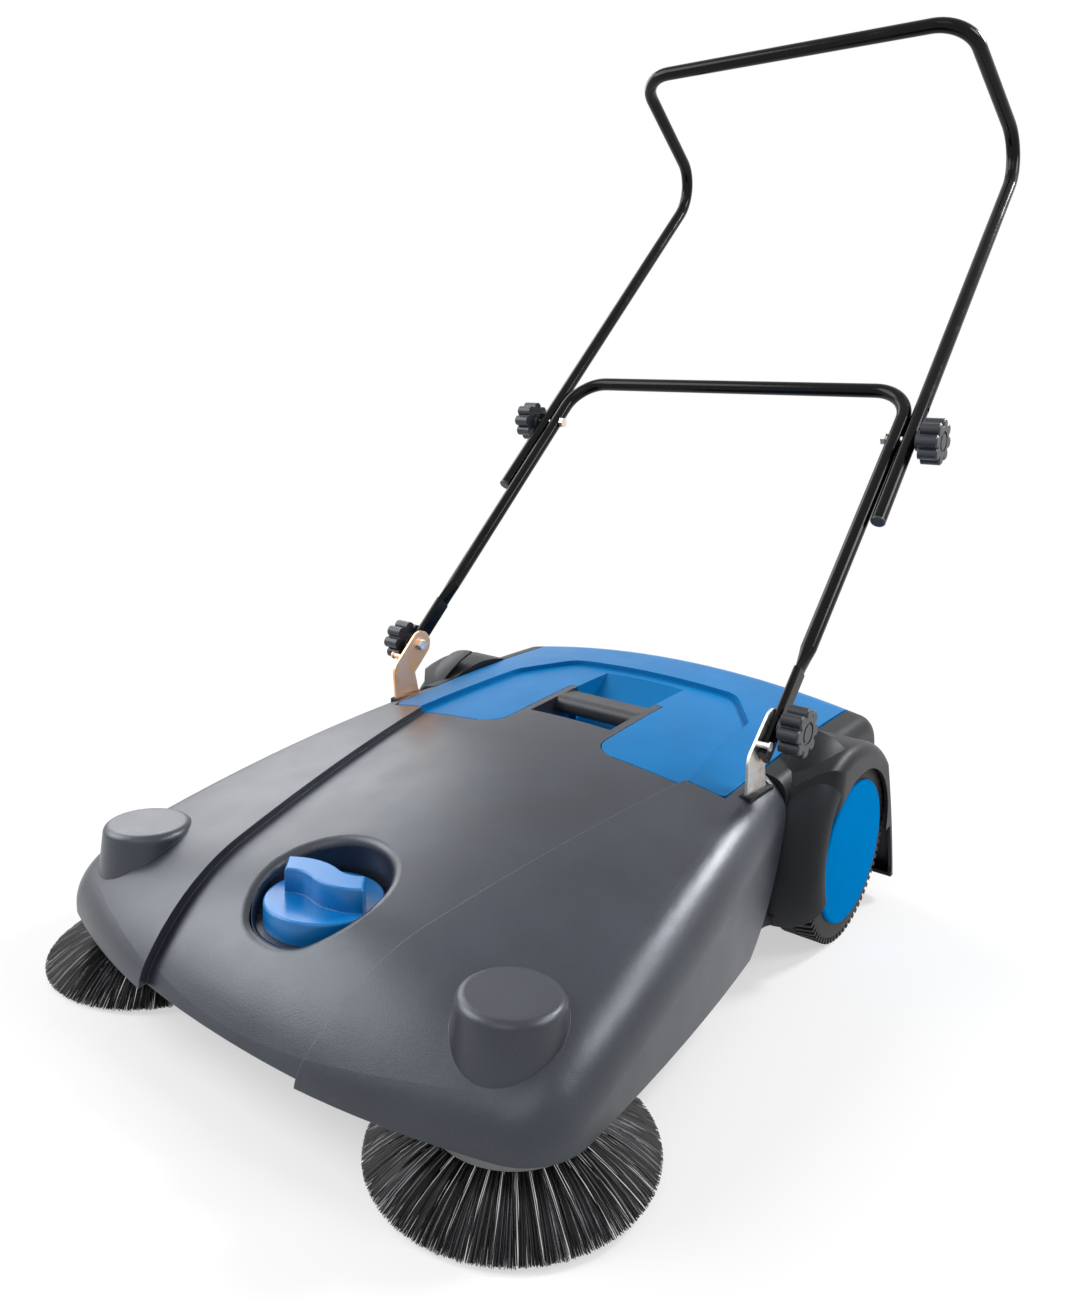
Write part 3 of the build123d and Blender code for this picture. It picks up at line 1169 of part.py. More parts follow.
broom_pulley = pulley(
    broom_plane(BROOM_PULLEY_LEVEL),
    BROOM_PULLEY_WIDTH,
    BROOM_PULLEY_PITCH,
    BROOM_GROOVE_MOUTH,
    SPINDLE_RADIUS,
    BROOM_NECK_TOP - BROOM_PULLEY_LEVEL,
    BUSH_BOTTOM - BUSH_FLANGE_THICK - SEAT_GAP - BROOM_PULLEY_LEVEL,
)
finish_pair(broom_pulley, "broom_pulley")
with BuildPart() as broom_bush:
    with BuildSketch(broom_plane(BUSH_BOTTOM)):
        Circle(BUSH_FLANGE_RADIUS)
    extrude(amount=-BUSH_FLANGE_THICK)
    with BuildSketch(broom_plane(BUSH_BOTTOM)):
        Circle(BUSH_RADIUS)
    extrude(amount=BUSH_TOP - BUSH_BOTTOM)
    with BuildSketch(broom_plane(BUSH_BOTTOM - BUSH_FLANGE_THICK)):
        Circle(SPINDLE_RADIUS + RUN_FIT)
    extrude(amount=BUSH_TOP - BUSH_BOTTOM + BUSH_FLANGE_THICK, mode=Mode.SUBTRACT)
finish_pair(broom_bush.part, "broom_bush")
backing_plane = broom_plane(BROOM_HUB_BOTTOM - BROOM_BACKING_THICK)
with BuildPart() as broom_bristles:
    with BuildSketch(backing_plane):
        Circle(BROOM_BACKING_OUTER)
        Circle(BROOM_BACKING_INNER, mode=Mode.SUBTRACT)
    extrude(amount=BROOM_BACKING_THICK)
    for row, (root_radius, shorter) in enumerate(zip(BROOM_ROW_ROOTS, BROOM_ROW_SHORTER)):
        root_level = BROOM_HUB_BOTTOM - BROOM_BACKING_THICK / 2
        reach = BROOM_RADIUS - shorter - root_radius
        length = hypot(reach, root_level)
        row_planes = []
        for place in range(row, BROOM_STRANDS, len(BROOM_ROW_ROOTS)):
            turn = radians(360 / BROOM_STRANDS * place)
            frame = broom_plane(0)
            out = frame.x_dir * cos(turn) + frame.y_dir * sin(turn)
            along = out * (reach / length) - BROOM_AXIS * (root_level / length)
            root = frame.origin + out * root_radius + BROOM_AXIS * root_level
            row_planes.append(Plane(origin=root, x_dir=BROOM_AXIS.cross(out), z_dir=along))
        with BuildSketch(*row_planes):
            RegularPolygon(STRAND_RADIUS, 3)
        extrude(amount=length)
finish_pair(broom_bristles.part, "broom_bristles")

# Round belt from the right wheel to the roller
belt_reach = hypot(ROLLER_Y, AXLE_Z - ROLLER_Z)
belt_lean = atan2(ROLLER_Z - AXLE_Z, ROLLER_Y)
belt_open = acos((WHEEL_PULLEY_PITCH - ROLLER_PULLEY_PITCH) / belt_reach)


def rim_point(y, z, radius, angle):
    """Point on a pulley's pitch circle in side view."""
    return (y + radius * cos(angle), z + radius * sin(angle))


with BuildPart() as drive_belt:
    with BuildLine(side_plane(WHEEL_BELT_X)) as belt_line:
        wheel_high = rim_point(0, AXLE_Z, WHEEL_PULLEY_PITCH, belt_lean - belt_open)
        wheel_back = rim_point(0, AXLE_Z, WHEEL_PULLEY_PITCH, belt_lean + pi)
        wheel_low = rim_point(0, AXLE_Z, WHEEL_PULLEY_PITCH, belt_lean + belt_open)
        roller_high = rim_point(ROLLER_Y, ROLLER_Z, ROLLER_PULLEY_PITCH, belt_lean - belt_open)
        roller_front = rim_point(ROLLER_Y, ROLLER_Z, ROLLER_PULLEY_PITCH, belt_lean)
        roller_low = rim_point(ROLLER_Y, ROLLER_Z, ROLLER_PULLEY_PITCH, belt_lean + belt_open)
        Line(roller_high, wheel_high)
        ThreePointArc(wheel_high, wheel_back, wheel_low)
        Line(wheel_low, roller_low)
        ThreePointArc(roller_low, roller_front, roller_high)
    with BuildSketch(Plane(origin=belt_line.line @ 0, z_dir=belt_line.line % 0)):
        Circle(BELT_RADIUS)
    sweep()
finish(drive_belt.part, "drive_belt")

# Quarter-turn belt from the roller to each broom: the two ends of the loop meet halfway
broom_pitch_plane = broom_plane(BROOM_PULLEY_LEVEL)
near = ROLLER_PULLEY_PITCH + BROOM_BELT_LIFT
far = BROOM_PULLEY_PITCH + BROOM_BELT_LIFT
loop_top = Vector(BROOM_BELT_X, ROLLER_Y, ROLLER_Z + near)
loop_bottom = Vector(BROOM_BELT_X, ROLLER_Y, ROLLER_Z - near)
loop_back = Vector(0, near, 0)
loop_outer = broom_pitch_plane.from_local_coords(Vector(far, 0, 0))
loop_inner = broom_pitch_plane.from_local_coords(Vector(-far, 0, 0))
loop_front = broom_pitch_plane.y_dir * -far
outer_half = (loop_top + loop_outer) / 2
inner_half = (loop_bottom + loop_inner) / 2
roller_end = (outer_half, loop_top, loop_top + loop_back, loop_bottom + loop_back, loop_bottom, inner_half)
broom_end = (outer_half, loop_outer, loop_outer + loop_front, loop_inner + loop_front, loop_inner, inner_half)
with BuildPart() as broom_belt:
    for corners, pitch in ((roller_end, near), (broom_end, far)):
        with BuildLine() as half_loop:
            FilletPolyline(*corners, radius=BELT_CORNER_SHARE * pitch)
        with BuildSketch(Plane(origin=half_loop.line @ 0, z_dir=half_loop.line % 0)):
            Circle(BELT_RADIUS)
        sweep(path=half_loop.line)
finish_pair(broom_belt.part, "broom_belt")

# Height adjuster: a knob turns a screw that lifts or lowers the front support roller's fork
knob_z = BOWL_FLOOR_Z + SEAT_GAP
knob_top_z = knob_z + KNOB_BASE_THICK
with BuildPart() as adjusting_knob:
    with BuildSketch(Plane.XY.offset(knob_z)):
        with Locations((0, KNOB_Y)):
            Circle(KNOB_RADIUS)
    extrude(amount=KNOB_BASE_THICK)
    fillet(adjusting_knob.edges().group_by(Axis.Z)[-1], KNOB_EDGE_ROUND)
    grip_dir = (cos(radians(KNOB_TURN)), sin(radians(KNOB_TURN)), 0)
    with BuildSketch(Plane(origin=(0, KNOB_Y, knob_top_z), x_dir=grip_dir)):
        with BuildLine():
            ThreePointArc((-KNOB_GRIP_HALF, 0), (-KNOB_GRIP_HALF / 2, KNOB_GRIP_BOW), (0, 0))
            ThreePointArc((0, 0), (KNOB_GRIP_HALF / 2, -KNOB_GRIP_BOW), (KNOB_GRIP_HALF, 0))
        trace(line_width=KNOB_GRIP_WIDTH)
    extrude(amount=KNOB_GRIP_HEIGHT)
    fillet(adjusting_knob.edges().group_by(Axis.Z)[-1], KNOB_GRIP_EDGE)
    with BuildSketch(Plane.XY.offset(knob_z)):
        with Locations((0, KNOB_Y)):
            Circle(SCREW_RADIUS)
    extrude(amount=KNOB_BASE_THICK, mode=Mode.SUBTRACT)
finish(adjusting_knob.part, "adjusting_knob")
with BuildPart() as adjusting_screw:
    with BuildSketch(Plane.XY.offset(SCREW_END_Z)):
        with Locations((0, KNOB_Y)):
            Circle(SCREW_RADIUS)
    extrude(amount=knob_top_z - SCREW_END_Z)
    with BuildSketch(Plane.XY.offset(BOWL_FLOOR_Z - HOOD_WALL - SEAT_GAP)):
        with Locations((0, KNOB_Y)):
            Circle(SCREW_COLLAR_RADIUS)
    extrude(amount=-SCREW_COLLAR_THICK)
finish(adjusting_screw.part, "adjusting_screw")
fork_half = FRONT_ROLLER_WIDTH / 2 + FORK_SIDE_GAP + FORK_CHEEK_THICK
with BuildPart() as support_fork:
    with BuildSketch(Plane.XY.offset(FORK_YOKE_Z + FORK_YOKE_THICK)):
        with Locations((0, KNOB_Y)):
            Circle(FORK_STEM_RADIUS)
    extrude(amount=FORK_STEM_TOP_Z - FORK_YOKE_Z - FORK_YOKE_THICK)
    with BuildSketch(Plane.XY.offset(FORK_YOKE_Z)):
        with Locations((0, KNOB_Y)):
            Rectangle(2 * fork_half, FORK_CHEEK_WIDTH)
    extrude(amount=FORK_YOKE_THICK)
    with BuildSketch(side_plane(-fork_half)):
        with Locations((KNOB_Y, FRONT_ROLLER_RADIUS)):
            Circle(FORK_CHEEK_WIDTH / 2)
            Rectangle(FORK_CHEEK_WIDTH, FORK_YOKE_Z - FRONT_ROLLER_RADIUS, align=(Align.CENTER, Align.MIN))
            Circle(FRONT_AXLE_RADIUS, mode=Mode.SUBTRACT)
    extrude(amount=FORK_CHEEK_THICK)
    with BuildSketch(side_plane(fork_half)):
        with Locations((KNOB_Y, FRONT_ROLLER_RADIUS)):
            Circle(FORK_CHEEK_WIDTH / 2)
            Rectangle(FORK_CHEEK_WIDTH, FORK_YOKE_Z - FRONT_ROLLER_RADIUS, align=(Align.CENTER, Align.MIN))
            Circle(FRONT_AXLE_RADIUS, mode=Mode.SUBTRACT)
    extrude(amount=-FORK_CHEEK_THICK)
    with BuildSketch(Plane.XY.offset(FORK_YOKE_Z)):
        with Locations((0, KNOB_Y)):
            Circle(SCREW_RADIUS + RUN_FIT)
    extrude(amount=FORK_STEM_TOP_Z - FORK_YOKE_Z, mode=Mode.SUBTRACT)
finish(support_fork.part, "support_fork")
with BuildPart() as support_axle:
    with BuildSketch(side_plane(-fork_half)):
        with Locations((KNOB_Y, FRONT_ROLLER_RADIUS)):
            Circle(FRONT_AXLE_RADIUS)
    extrude(amount=2 * fork_half)
finish(support_axle.part, "support_axle")
with BuildPart() as support_roller:
    with BuildSketch(side_plane(-FRONT_ROLLER_WIDTH / 2)):
        with Locations((KNOB_Y, FRONT_ROLLER_RADIUS)):
            Circle(FRONT_ROLLER_RADIUS)
            Circle(FRONT_AXLE_RADIUS + RUN_FIT, mode=Mode.SUBTRACT)
    extrude(amount=FRONT_ROLLER_WIDTH)
    chamfer(support_roller.edges().filter_by(GeomType.CIRCLE).sort_by(SortBy.RADIUS)[-2:], FORK_SIDE_GAP)
finish(support_roller.part, "support_roller")


def handle_point(x, s):
    """Point on the handle's plane: x across and s along it from the pivot."""
    return HANDLE_PLANE.from_local_coords(Vector(x, s, 0))


def bored(radius, s):
    """Rod along X through the handle's plane, to bore or fill both legs."""
    centre = handle_point(0, s)
    with BuildPart() as rod:
        with BuildSketch(side_plane(0)):
            with Locations((centre.Y, centre.Z)):
                Circle(radius)
        extrude(amount=FORM_HEIGHT, both=True)
    return rod.part


# Lower handle: a tube loop whose feet are pressed flat for the pivots
leg_dir = (handle_point(LOWER_TOP_X, LOWER_LENGTH) - handle_point(LOWER_FOOT_X, 0)).normalized()
blend_s = FLAT_END + FLAT_BLEND
with BuildPart() as flat_foot:
    foot_plane = Plane(origin=handle_point(LOWER_FOOT_X, 0), x_dir=ACROSS, z_dir=leg_dir)
    with BuildSketch(foot_plane.offset(-FLAT_TAIL)):
        RectangleRounded(FLAT_WIDTH, FLAT_THICK, FLAT_THICK * 0.45)
    extrude(amount=FLAT_TAIL + FLAT_END)
    with BuildSketch(foot_plane.offset(FLAT_END)):
        Ellipse(FLAT_WIDTH / 2 - FLAT_STEP, FLAT_THICK / 2 - FLAT_STEP)
    with BuildSketch(foot_plane.offset(blend_s)):
        Circle(TUBE_RADIUS)
    loft()
with BuildPart() as lower_handle:
    with BuildLine() as lower_line:
        foot = handle_point(LOWER_FOOT_X, 0) + leg_dir * blend_s
        FilletPolyline(
            foot,
            handle_point(LOWER_TOP_X, LOWER_LENGTH),
            handle_point(-LOWER_TOP_X, LOWER_LENGTH),
            Vector(-foot.X, foot.Y, foot.Z),
            radius=LOOP_ROUND,
        )
    with BuildSketch(Plane(origin=lower_line.line @ 0, z_dir=lower_line.line % 0)):
        Circle(TUBE_RADIUS)
        Circle(TUBE_RADIUS - TUBE_WALL, mode=Mode.SUBTRACT)
    sweep(path=lower_line.line)
    add([flat_foot.part, mirror(flat_foot.part, about=Plane.YZ)])
    add(bored(BOLT_RADIUS + RUN_FIT, 0), mode=Mode.SUBTRACT)
    add(bored(BOLT_RADIUS, CLAMP_S), mode=Mode.SUBTRACT)
finish(lower_handle.part, "lower_handle")

# Upper handle: a longer loop clamped outside the lower one, bent back over to the push bar
upper_tail_x = UPPER_BEND_X + UPPER_LEAN * (UPPER_BEND_S - UPPER_TAIL_S)
with BuildPart() as upper_handle:
    with BuildLine() as upper_line:
        bend = handle_point(UPPER_BEND_X, UPPER_BEND_S)
        tail = handle_point(upper_tail_x, UPPER_TAIL_S)
        bar = Vector(UPPER_TOP_X, bend.Y + UPPER_REACH_Y, bend.Z + UPPER_RISE_Z)
        FilletPolyline(
            tail,
            bend,
            bar,
            Vector(-bar.X, bar.Y, bar.Z),
            Vector(-bend.X, bend.Y, bend.Z),
            Vector(-tail.X, tail.Y, tail.Z),
            radius=LOOP_ROUND,
        )
    with BuildSketch(Plane(origin=upper_line.line @ 0, z_dir=upper_line.line % 0)):
        Circle(TUBE_RADIUS)
        Circle(TUBE_RADIUS - TUBE_WALL, mode=Mode.SUBTRACT)
    sweep(path=upper_line.line)
    add(bored(BOLT_RADIUS + RUN_FIT, CLAMP_S), mode=Mode.SUBTRACT)
    add(bored(ADJUST_HOLE_RADIUS, ADJUST_HOLE_S), mode=Mode.SUBTRACT)
finish(upper_handle.part, "upper_handle")
with BuildPart() as handle_caps:
    cap_plane = Plane(origin=upper_line.line @ 0, z_dir=-(upper_line.line % 0))
    with BuildSketch(cap_plane):
        Circle(TUBE_RADIUS)
    extrude(amount=CAP_THICK)
    fillet(handle_caps.edges().group_by(Axis.Z)[0], CAP_THICK * 0.6)
    with BuildSketch(cap_plane):
        Circle(TUBE_RADIUS - TUBE_WALL)
    extrude(amount=-CAP_DEPTH)
    mirror(about=Plane.YZ)
finish(handle_caps.part, "handle_caps")


def bolt_pair(head_x, reach_x, s):
    """A bolt through each leg, its head inside."""
    centre = handle_point(0, s)
    with BuildPart() as bolts:
        with BuildSketch(side_plane(head_x)):
            with Locations((centre.Y, centre.Z)):
                RegularPolygon(BOLT_HEAD_RADIUS, 6)
        extrude(amount=-BOLT_HEAD_THICK)
        with BuildSketch(side_plane(head_x)):
            with Locations((centre.Y, centre.Z)):
                Circle(BOLT_RADIUS)
        extrude(amount=reach_x - head_x)
        mirror(about=Plane.YZ)
    return bolts.part


def star_knob(seat_x, s):
    """Right-hand lobed knob on a bolt, seated on a leg at seat_x."""
    centre = handle_point(0, s)
    seat = Plane(origin=(seat_x, centre.Y, centre.Z), x_dir=(0, 1, 0), z_dir=(1, 0, 0))
    with BuildPart() as knob:
        with BuildSketch(seat):
            Circle(STAR_NECK_RADIUS)
        extrude(amount=STAR_NECK)
        with BuildSketch(seat.offset(STAR_NECK)):
            Circle(STAR_RADIUS - STAR_LOBE_RADIUS)
            with PolarLocations(STAR_RADIUS - STAR_LOBE_RADIUS, STAR_LOBES):
                Circle(STAR_LOBE_RADIUS)
        extrude(amount=STAR_BODY)
        chamfer(knob.faces().sort_by(Axis.X)[-1].edges(), STAR_EDGE)
        with BuildSketch(seat.offset(STAR_NECK + STAR_BODY)):
            Circle(STAR_NECK_RADIUS)
            Circle(STAR_RING_RADIUS, mode=Mode.SUBTRACT)
        extrude(amount=-STAR_RING_DEPTH, mode=Mode.SUBTRACT)
        with BuildSketch(seat):
            Circle(BOLT_RADIUS + RUN_FIT)
        extrude(amount=BOLT_REACH + SEAT_GAP, mode=Mode.SUBTRACT)
    return knob.part


# Bolts and knobs at the pivots and at the clamps
pivot_seat_x = LOWER_FOOT_X + FLAT_THICK / 2 + PIVOT_GAP
clamp_seat_x = CLAMP_UPPER_X + TUBE_RADIUS + PIVOT_GAP
finish(bolt_pair(BRACKET_X, pivot_seat_x + BOLT_REACH, 0), "pivot_bolts")
finish(bolt_pair(CLAMP_LOWER_X - TUBE_RADIUS - PIVOT_GAP, clamp_seat_x + BOLT_REACH, CLAMP_S), "clamp_bolts")
finish_pair(star_knob(pivot_seat_x, 0), "pivot_knob")
finish_pair(star_knob(clamp_seat_x, CLAMP_S), "clamp_knob")

# Handle brackets: cranked plates with the pin that the handle's foot rests against
knee = handle_point(0, BRACKET_KNEE_S)
pin_spot = handle_point(0, STOP_PIN_S) + ACROSS * (FLAT_WIDTH / 2 + STOP_PIN_RADIUS + SEAT_GAP)
pin_reach = BRACKET_THICK + FLAT_THICK + 2 * PIVOT_GAP + STOP_PIN_RADIUS
with BuildPart() as handle_bracket:
    with BuildSketch(side_plane(BRACKET_X)):
        with Locations((PIVOT_Y, PIVOT_Z), (knee.Y, knee.Z)):
            Circle(BRACKET_HALF_WIDTH)
        make_hull()
    extrude(amount=BRACKET_THICK)
    with BuildSketch(side_plane(BRACKET_X)):
        with Locations((knee.Y, knee.Z)):
            Circle(BRACKET_HALF_WIDTH)
        with Locations((BRACKET_FOOT_Y, BRACKET_FOOT_Z)):
            Rectangle(2 * BRACKET_HALF_WIDTH, COLLAR_TOP_Z - BRACKET_FOOT_Z, align=(Align.CENTER, Align.MIN))
        make_hull()
    extrude(amount=BRACKET_THICK)
    with BuildSketch(side_plane(BRACKET_X)):
        with Locations((pin_spot.Y, pin_spot.Z)):
            Circle(STOP_PIN_RADIUS)
    extrude(amount=pin_reach)
    with BuildSketch(side_plane(BRACKET_X + pin_reach)):
        with Locations((pin_spot.Y, pin_spot.Z)):
            Circle(STOP_PIN_HEAD_RADIUS)
    extrude(amount=STOP_PIN_HEAD)
    with BuildSketch(side_plane(BRACKET_X)):
        with Locations((PIVOT_Y, PIVOT_Z)):
            Circle(BOLT_RADIUS)
        with Locations(*[(BRACKET_FOOT_Y, z) for z in BRACKET_SCREW_ZS]):
            Circle(BRACKET_SCREW_RADIUS)
    extrude(amount=BRACKET_THICK, mode=Mode.SUBTRACT)
finish_pair(handle_bracket.part, "handle_bracket")
with BuildPart() as bracket_screws:
    for z in BRACKET_SCREW_ZS:
        with BuildSketch(side_plane(BRACKET_X - LUG_THICK)):
            with Locations((BRACKET_FOOT_Y, z)):
                Circle(BRACKET_SCREW_RADIUS)
        extrude(amount=LUG_THICK + BRACKET_THICK)
        with BuildSketch(side_plane(BRACKET_OUT_X)):
            with Locations((BRACKET_FOOT_Y, z)):
                Circle(BRACKET_SCREW_HEAD_RADIUS)
        extrude(amount=BRACKET_SCREW_HEAD_THICK)
    mirror(about=Plane.YZ)
finish(bracket_screws.part, "bracket_screws")
with BuildPart() as bracket_collar:
    with BuildSketch(Plane.XY.offset(COLLAR_BOTTOM_Z)):
        with Locations((BRACKET_X + BRACKET_THICK / 2, BRACKET_FOOT_Y)):
            Rectangle(BRACKET_THICK + 2 * COLLAR_WALL, COLLAR_LENGTH)
    extrude(amount=COLLAR_TOP_Z - COLLAR_BOTTOM_Z)
    chamfer(bracket_collar.edges().group_by(Axis.Z)[-1], COLLAR_WALL / 3)
    add(handle_bracket.part, mode=Mode.SUBTRACT)
finish_pair(bracket_collar.part, "bracket_collar")
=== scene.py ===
"""Looks of a walk-behind push sweeper: finishes, bristles, tyres and fairings round the CAD frame."""
import json
import math
import random

import bmesh
import bpy
from mathutils import Matrix, Vector


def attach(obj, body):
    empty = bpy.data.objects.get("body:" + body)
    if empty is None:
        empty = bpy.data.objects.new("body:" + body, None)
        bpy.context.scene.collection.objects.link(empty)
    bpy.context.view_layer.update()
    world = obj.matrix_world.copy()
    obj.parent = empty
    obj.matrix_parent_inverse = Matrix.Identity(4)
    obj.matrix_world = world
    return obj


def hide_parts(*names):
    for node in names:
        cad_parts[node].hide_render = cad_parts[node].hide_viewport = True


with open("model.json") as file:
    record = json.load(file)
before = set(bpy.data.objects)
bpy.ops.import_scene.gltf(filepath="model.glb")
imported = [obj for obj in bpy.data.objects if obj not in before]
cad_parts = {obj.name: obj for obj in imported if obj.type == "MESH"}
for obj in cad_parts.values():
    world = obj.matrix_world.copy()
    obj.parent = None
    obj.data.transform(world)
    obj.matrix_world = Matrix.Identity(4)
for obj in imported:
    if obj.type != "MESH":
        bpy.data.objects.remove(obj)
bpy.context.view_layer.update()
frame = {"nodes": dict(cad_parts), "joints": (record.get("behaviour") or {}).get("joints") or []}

MM = 0.001
FULL_TURN = 2 * math.pi
SMOOTH_ANGLE = math.radians(32)
MERGE_DISTANCE = 1e-6
SIDES = {"right": 1, "left": -1}
JOINTS = {joint["name"]: joint for joint in frame["joints"]}

# Bristles of the side brooms, in the broom's own frame: level 0 is the plane of the tips
BROOM_TUFTS = 40
BROOM_ROOT_LEVEL = 34 * MM
BROOM_TIP_RADIUS = 117.4 * MM
BROOM_ROWS = (
    {"root": 60.5 * MM, "shorter": 0.0, "strands": 28, "fan": 8.9 * MM, "shift": 0.0},
    {"root": 55.5 * MM, "shorter": 1.5 * MM, "strands": 24, "fan": 8.4 * MM, "shift": 0.06},
    {"root": 50.5 * MM, "shorter": 5.0 * MM, "strands": 7, "fan": 5.5 * MM, "shift": 0.5},
)
BROOM_HOLE_RADIUS = 2.2 * MM
BROOM_BOW = 3.0 * MM
BROOM_BOW_HEADING = Vector((0.5, 0, 0.87))
BROOM_BOW_SPREAD = (0.85, 1.15)
BROOM_UNEVEN_MM = 0.35
BROOM_TIP_LIFT = (0.6 * MM, 3.2 * MM)
BROOM_BACKING = (46 * MM, 64 * MM, 32 * MM, 36 * MM)
BROOM_BACKING_STEPS = 72
BROOM_ROW_SEEDS = 100

# One bristle: sides, stretches along it, thickness, and how far it is drawn in at the tip
STRAND_SIDES = 3
STRAND_STEPS = 4
STRAND_RADIUS = 0.5 * MM
STRAND_TIP_SHARE = 0.7
TUFT_KINDS = 5

# Bristles of the sweeping roller
ROLLER_TIP_RADIUS = 71.3 * MM
ROLLER_SLEEVE = (22 * MM, 24 * MM, 194 * MM)
ROLLER_SLEEVE_STEPS = 48
ROLLER_ROWS = 8
ROLLER_ROW_TUFTS = 27
ROLLER_TWIST = math.radians(50)
ROLLER_STRANDS = 9
ROLLER_HOLE_RADIUS = 2 * MM
ROLLER_ROOT_SUNK = 1 * MM
ROLLER_FAN = 4.2 * MM
ROLLER_BOW = 0.8 * MM
ROLLER_UNEVEN_MM = 0.8
ROLLER_SEEDS = 900

# Tyres
TYRE_RADIUS = 108 * MM
TYRE_BASE_RADIUS = 102.4 * MM
TYRE_BEAD_RADIUS = 80 * MM
TYRE_HALF_WIDTH = 23 * MM
TYRE_MIDDLE_X = 269 * MM
TYRE_STEPS = 144
# Half of the tyre's section from bead to tread: inset from the sidewall, radius
TYRE_SECTION = (
    (3 * MM, TYRE_BEAD_RADIUS),
    (0.6 * MM, TYRE_BEAD_RADIUS + 1.5 * MM),
    (0, TYRE_BEAD_RADIUS + 5 * MM),
    (0, TYRE_BASE_RADIUS - 4 * MM),
    (1.2 * MM, TYRE_BASE_RADIUS - 1.2 * MM),
    (4 * MM, TYRE_BASE_RADIUS),
)
LUGS = 72
LUG_SLANT = math.radians(24)
LUG_SHARE = 0.52
LUG_EDGE = 0.7 * MM
LUG_EDGE_STEPS = 2
LUG_TOP = 107.7 * MM
LUG_SUNK = 1.2 * MM
LUG_INSET = 0.6 * MM
LUG_STAGGER = 0.25

# Fairing in front of each wheel: a quarter of an ellipse from the housing's wall to the outer lip
FAIRING_ROOT_X = 250 * MM
FAIRING_LIP_X = 303 * MM
FAIRING_ROOT_RADIUS = 136 * MM
FAIRING_LIP_RADIUS = 97 * MM
FAIRING_WALL = 2.6 * MM
FAIRING_TOP = math.radians(78)
FAIRING_END = math.radians(-55)
FAIRING_FOOT = Vector((0, 0, 47 * MM))
FAIRING_LIP_END = Vector((0, -92 * MM, 77 * MM))
FAIRING_LIP_FACING = Vector((0, -0.78, 0.62))
FAIRING_LEAN = math.radians(2.8)
FAIRING_SECTION_STEPS = 12
FAIRING_TURN_STEPS = 40

# Camera at the photograph's view: place, bearing, height and tilt, and the frame's focal length in pixels
CAMERA_PLACE = Vector((0.6552, -1.0888, 0.5640))
CAMERA_BEARING = math.radians(36.973)
CAMERA_HEIGHT = math.radians(12.576)
CAMERA_TILT = math.radians(2.867)
PHOTO_HEIGHT = 1300
FOCAL_PIXELS = 1031.035
SENSOR_HEIGHT = 36.0

# Floor: half its side, grey, and the distances over which its glow rises
FLOOR_REACH = 30
FLOOR_COLOUR = (0.86, 0.86, 0.86, 1)
FLOOR_FADE = (0.5, 1.6)
FLOOR_GLOW = (0.55, 1.0)

# Surroundings: white where they are seen, and the share of it that lights the object
WHITE = (1, 1, 1, 1)
AMBIENT = 0.26

# Softboxes: place, point they face, size and power
SOFTBOXES = {
    "left": {"place": (-2.3, 0.5, 1.6), "faces": (-0.1, -0.5, 0.15), "size": 1.8, "power": 26},
    "front_left": {"place": (-2.0, -1.6, 1.9), "faces": (0, -0.5, 0.15), "size": 2.2, "power": 70},
    "behind_right": {"place": (1.0, 1.5, 1.9), "faces": (0.2, -0.4, 0.15), "size": 0.5, "power": 40},
    "right_high": {"place": (1.8, 0.5, 1.7), "faces": (0.25, -0.45, 0.15), "size": 0.8, "power": 18},
    "front_high": {"place": (0.9, -2.6, 2.6), "faces": (0, -0.3, 0.2), "size": 2.2, "power": 16},
}

# Moulded plastics: tone, flow clouds, pale scuffs that are partly a painted edge highlight, roughness,
# specular level, grain, its depth, edge radius
MOULDINGS = {
    "hood": ("hood_satin", "1F2129", "272B34", "7A7F88", 0.35, 0.7, 1.1 * MM, 0.14 * MM, 0.8 * MM),
    "lid": ("lid_blue", "036AA6", "0670AE", "3F8CCB", 0.36, 0.14, 1.2 * MM, 0.08 * MM, 0.8 * MM),
    "hub": ("hub_blue", "0172B4", "0276BA", "3F90D0", 0.4, 0.0, 1.6 * MM, 0.04 * MM, 0.8 * MM),
    # The dial's very pale edge colour is mostly a painted highlight along its edges
    "dial": ("dial_blue", "036CB0", "0570B6", "9CC4E4", 0.26, 0.5, 1.6 * MM, 0.04 * MM, 1.2 * MM),
    "trim": ("trim_grey", "131316", "1A1A1D", "626268", 0.42, 0.23, 1.1 * MM, 0.14 * MM, 0.8 * MM),
    "knob": ("knob_grey", "26272A", "2E3034", "606267", 0.38, 0.45, 1.3 * MM, 0.08 * MM, 0.5 * MM),
    "grip": ("grip_grey", "302E30", "3A3739", "68656A", 0.42, 0.45, 1.0 * MM, 0.14 * MM, 0.8 * MM),
    "broom_hub": ("broom_hub_grey", "7E8280", "8A8E8B", "AEB1AE", 0.48, 0.4, 1.2 * MM, 0.08 * MM, 0.8 * MM),
    "pulley": ("pulley_white", "C4C1B7", "CDCAC1", "DEDCD6", 0.42, 0.4, 1.4 * MM, 0.05 * MM, 0.4 * MM),
}
CLOUD_SIZE = 90 * MM
CLOUD_SHARE = 0.75
SCUFF_AND_PAINTED_HIGHLIGHT_SIZE = 12 * MM
SCUFF_AND_PAINTED_HIGHLIGHT_SHARE = 0.55
SCUFF_DULLING = 0.08
SHEEN_SIZE = 35 * MM
SHEEN_SPREAD = 0.02
SHEEN_TINT = "EEF5FF"

# Edges: how closely they are felt for, and the match of flat and rounded normals on a face and on an edge
EDGE_SAMPLES = 4
EDGE_MATCH = (0.98, 0.75)

# Where most of a noise's values lie, how often the broom's rays change tone, and how often its rays of
# painted sheen repeat
NOISE_REACH = (0.3, 0.7)
BROOM_TONE_RAYS = 110
BROOM_PAINTED_SHEEN_RAYS = 62


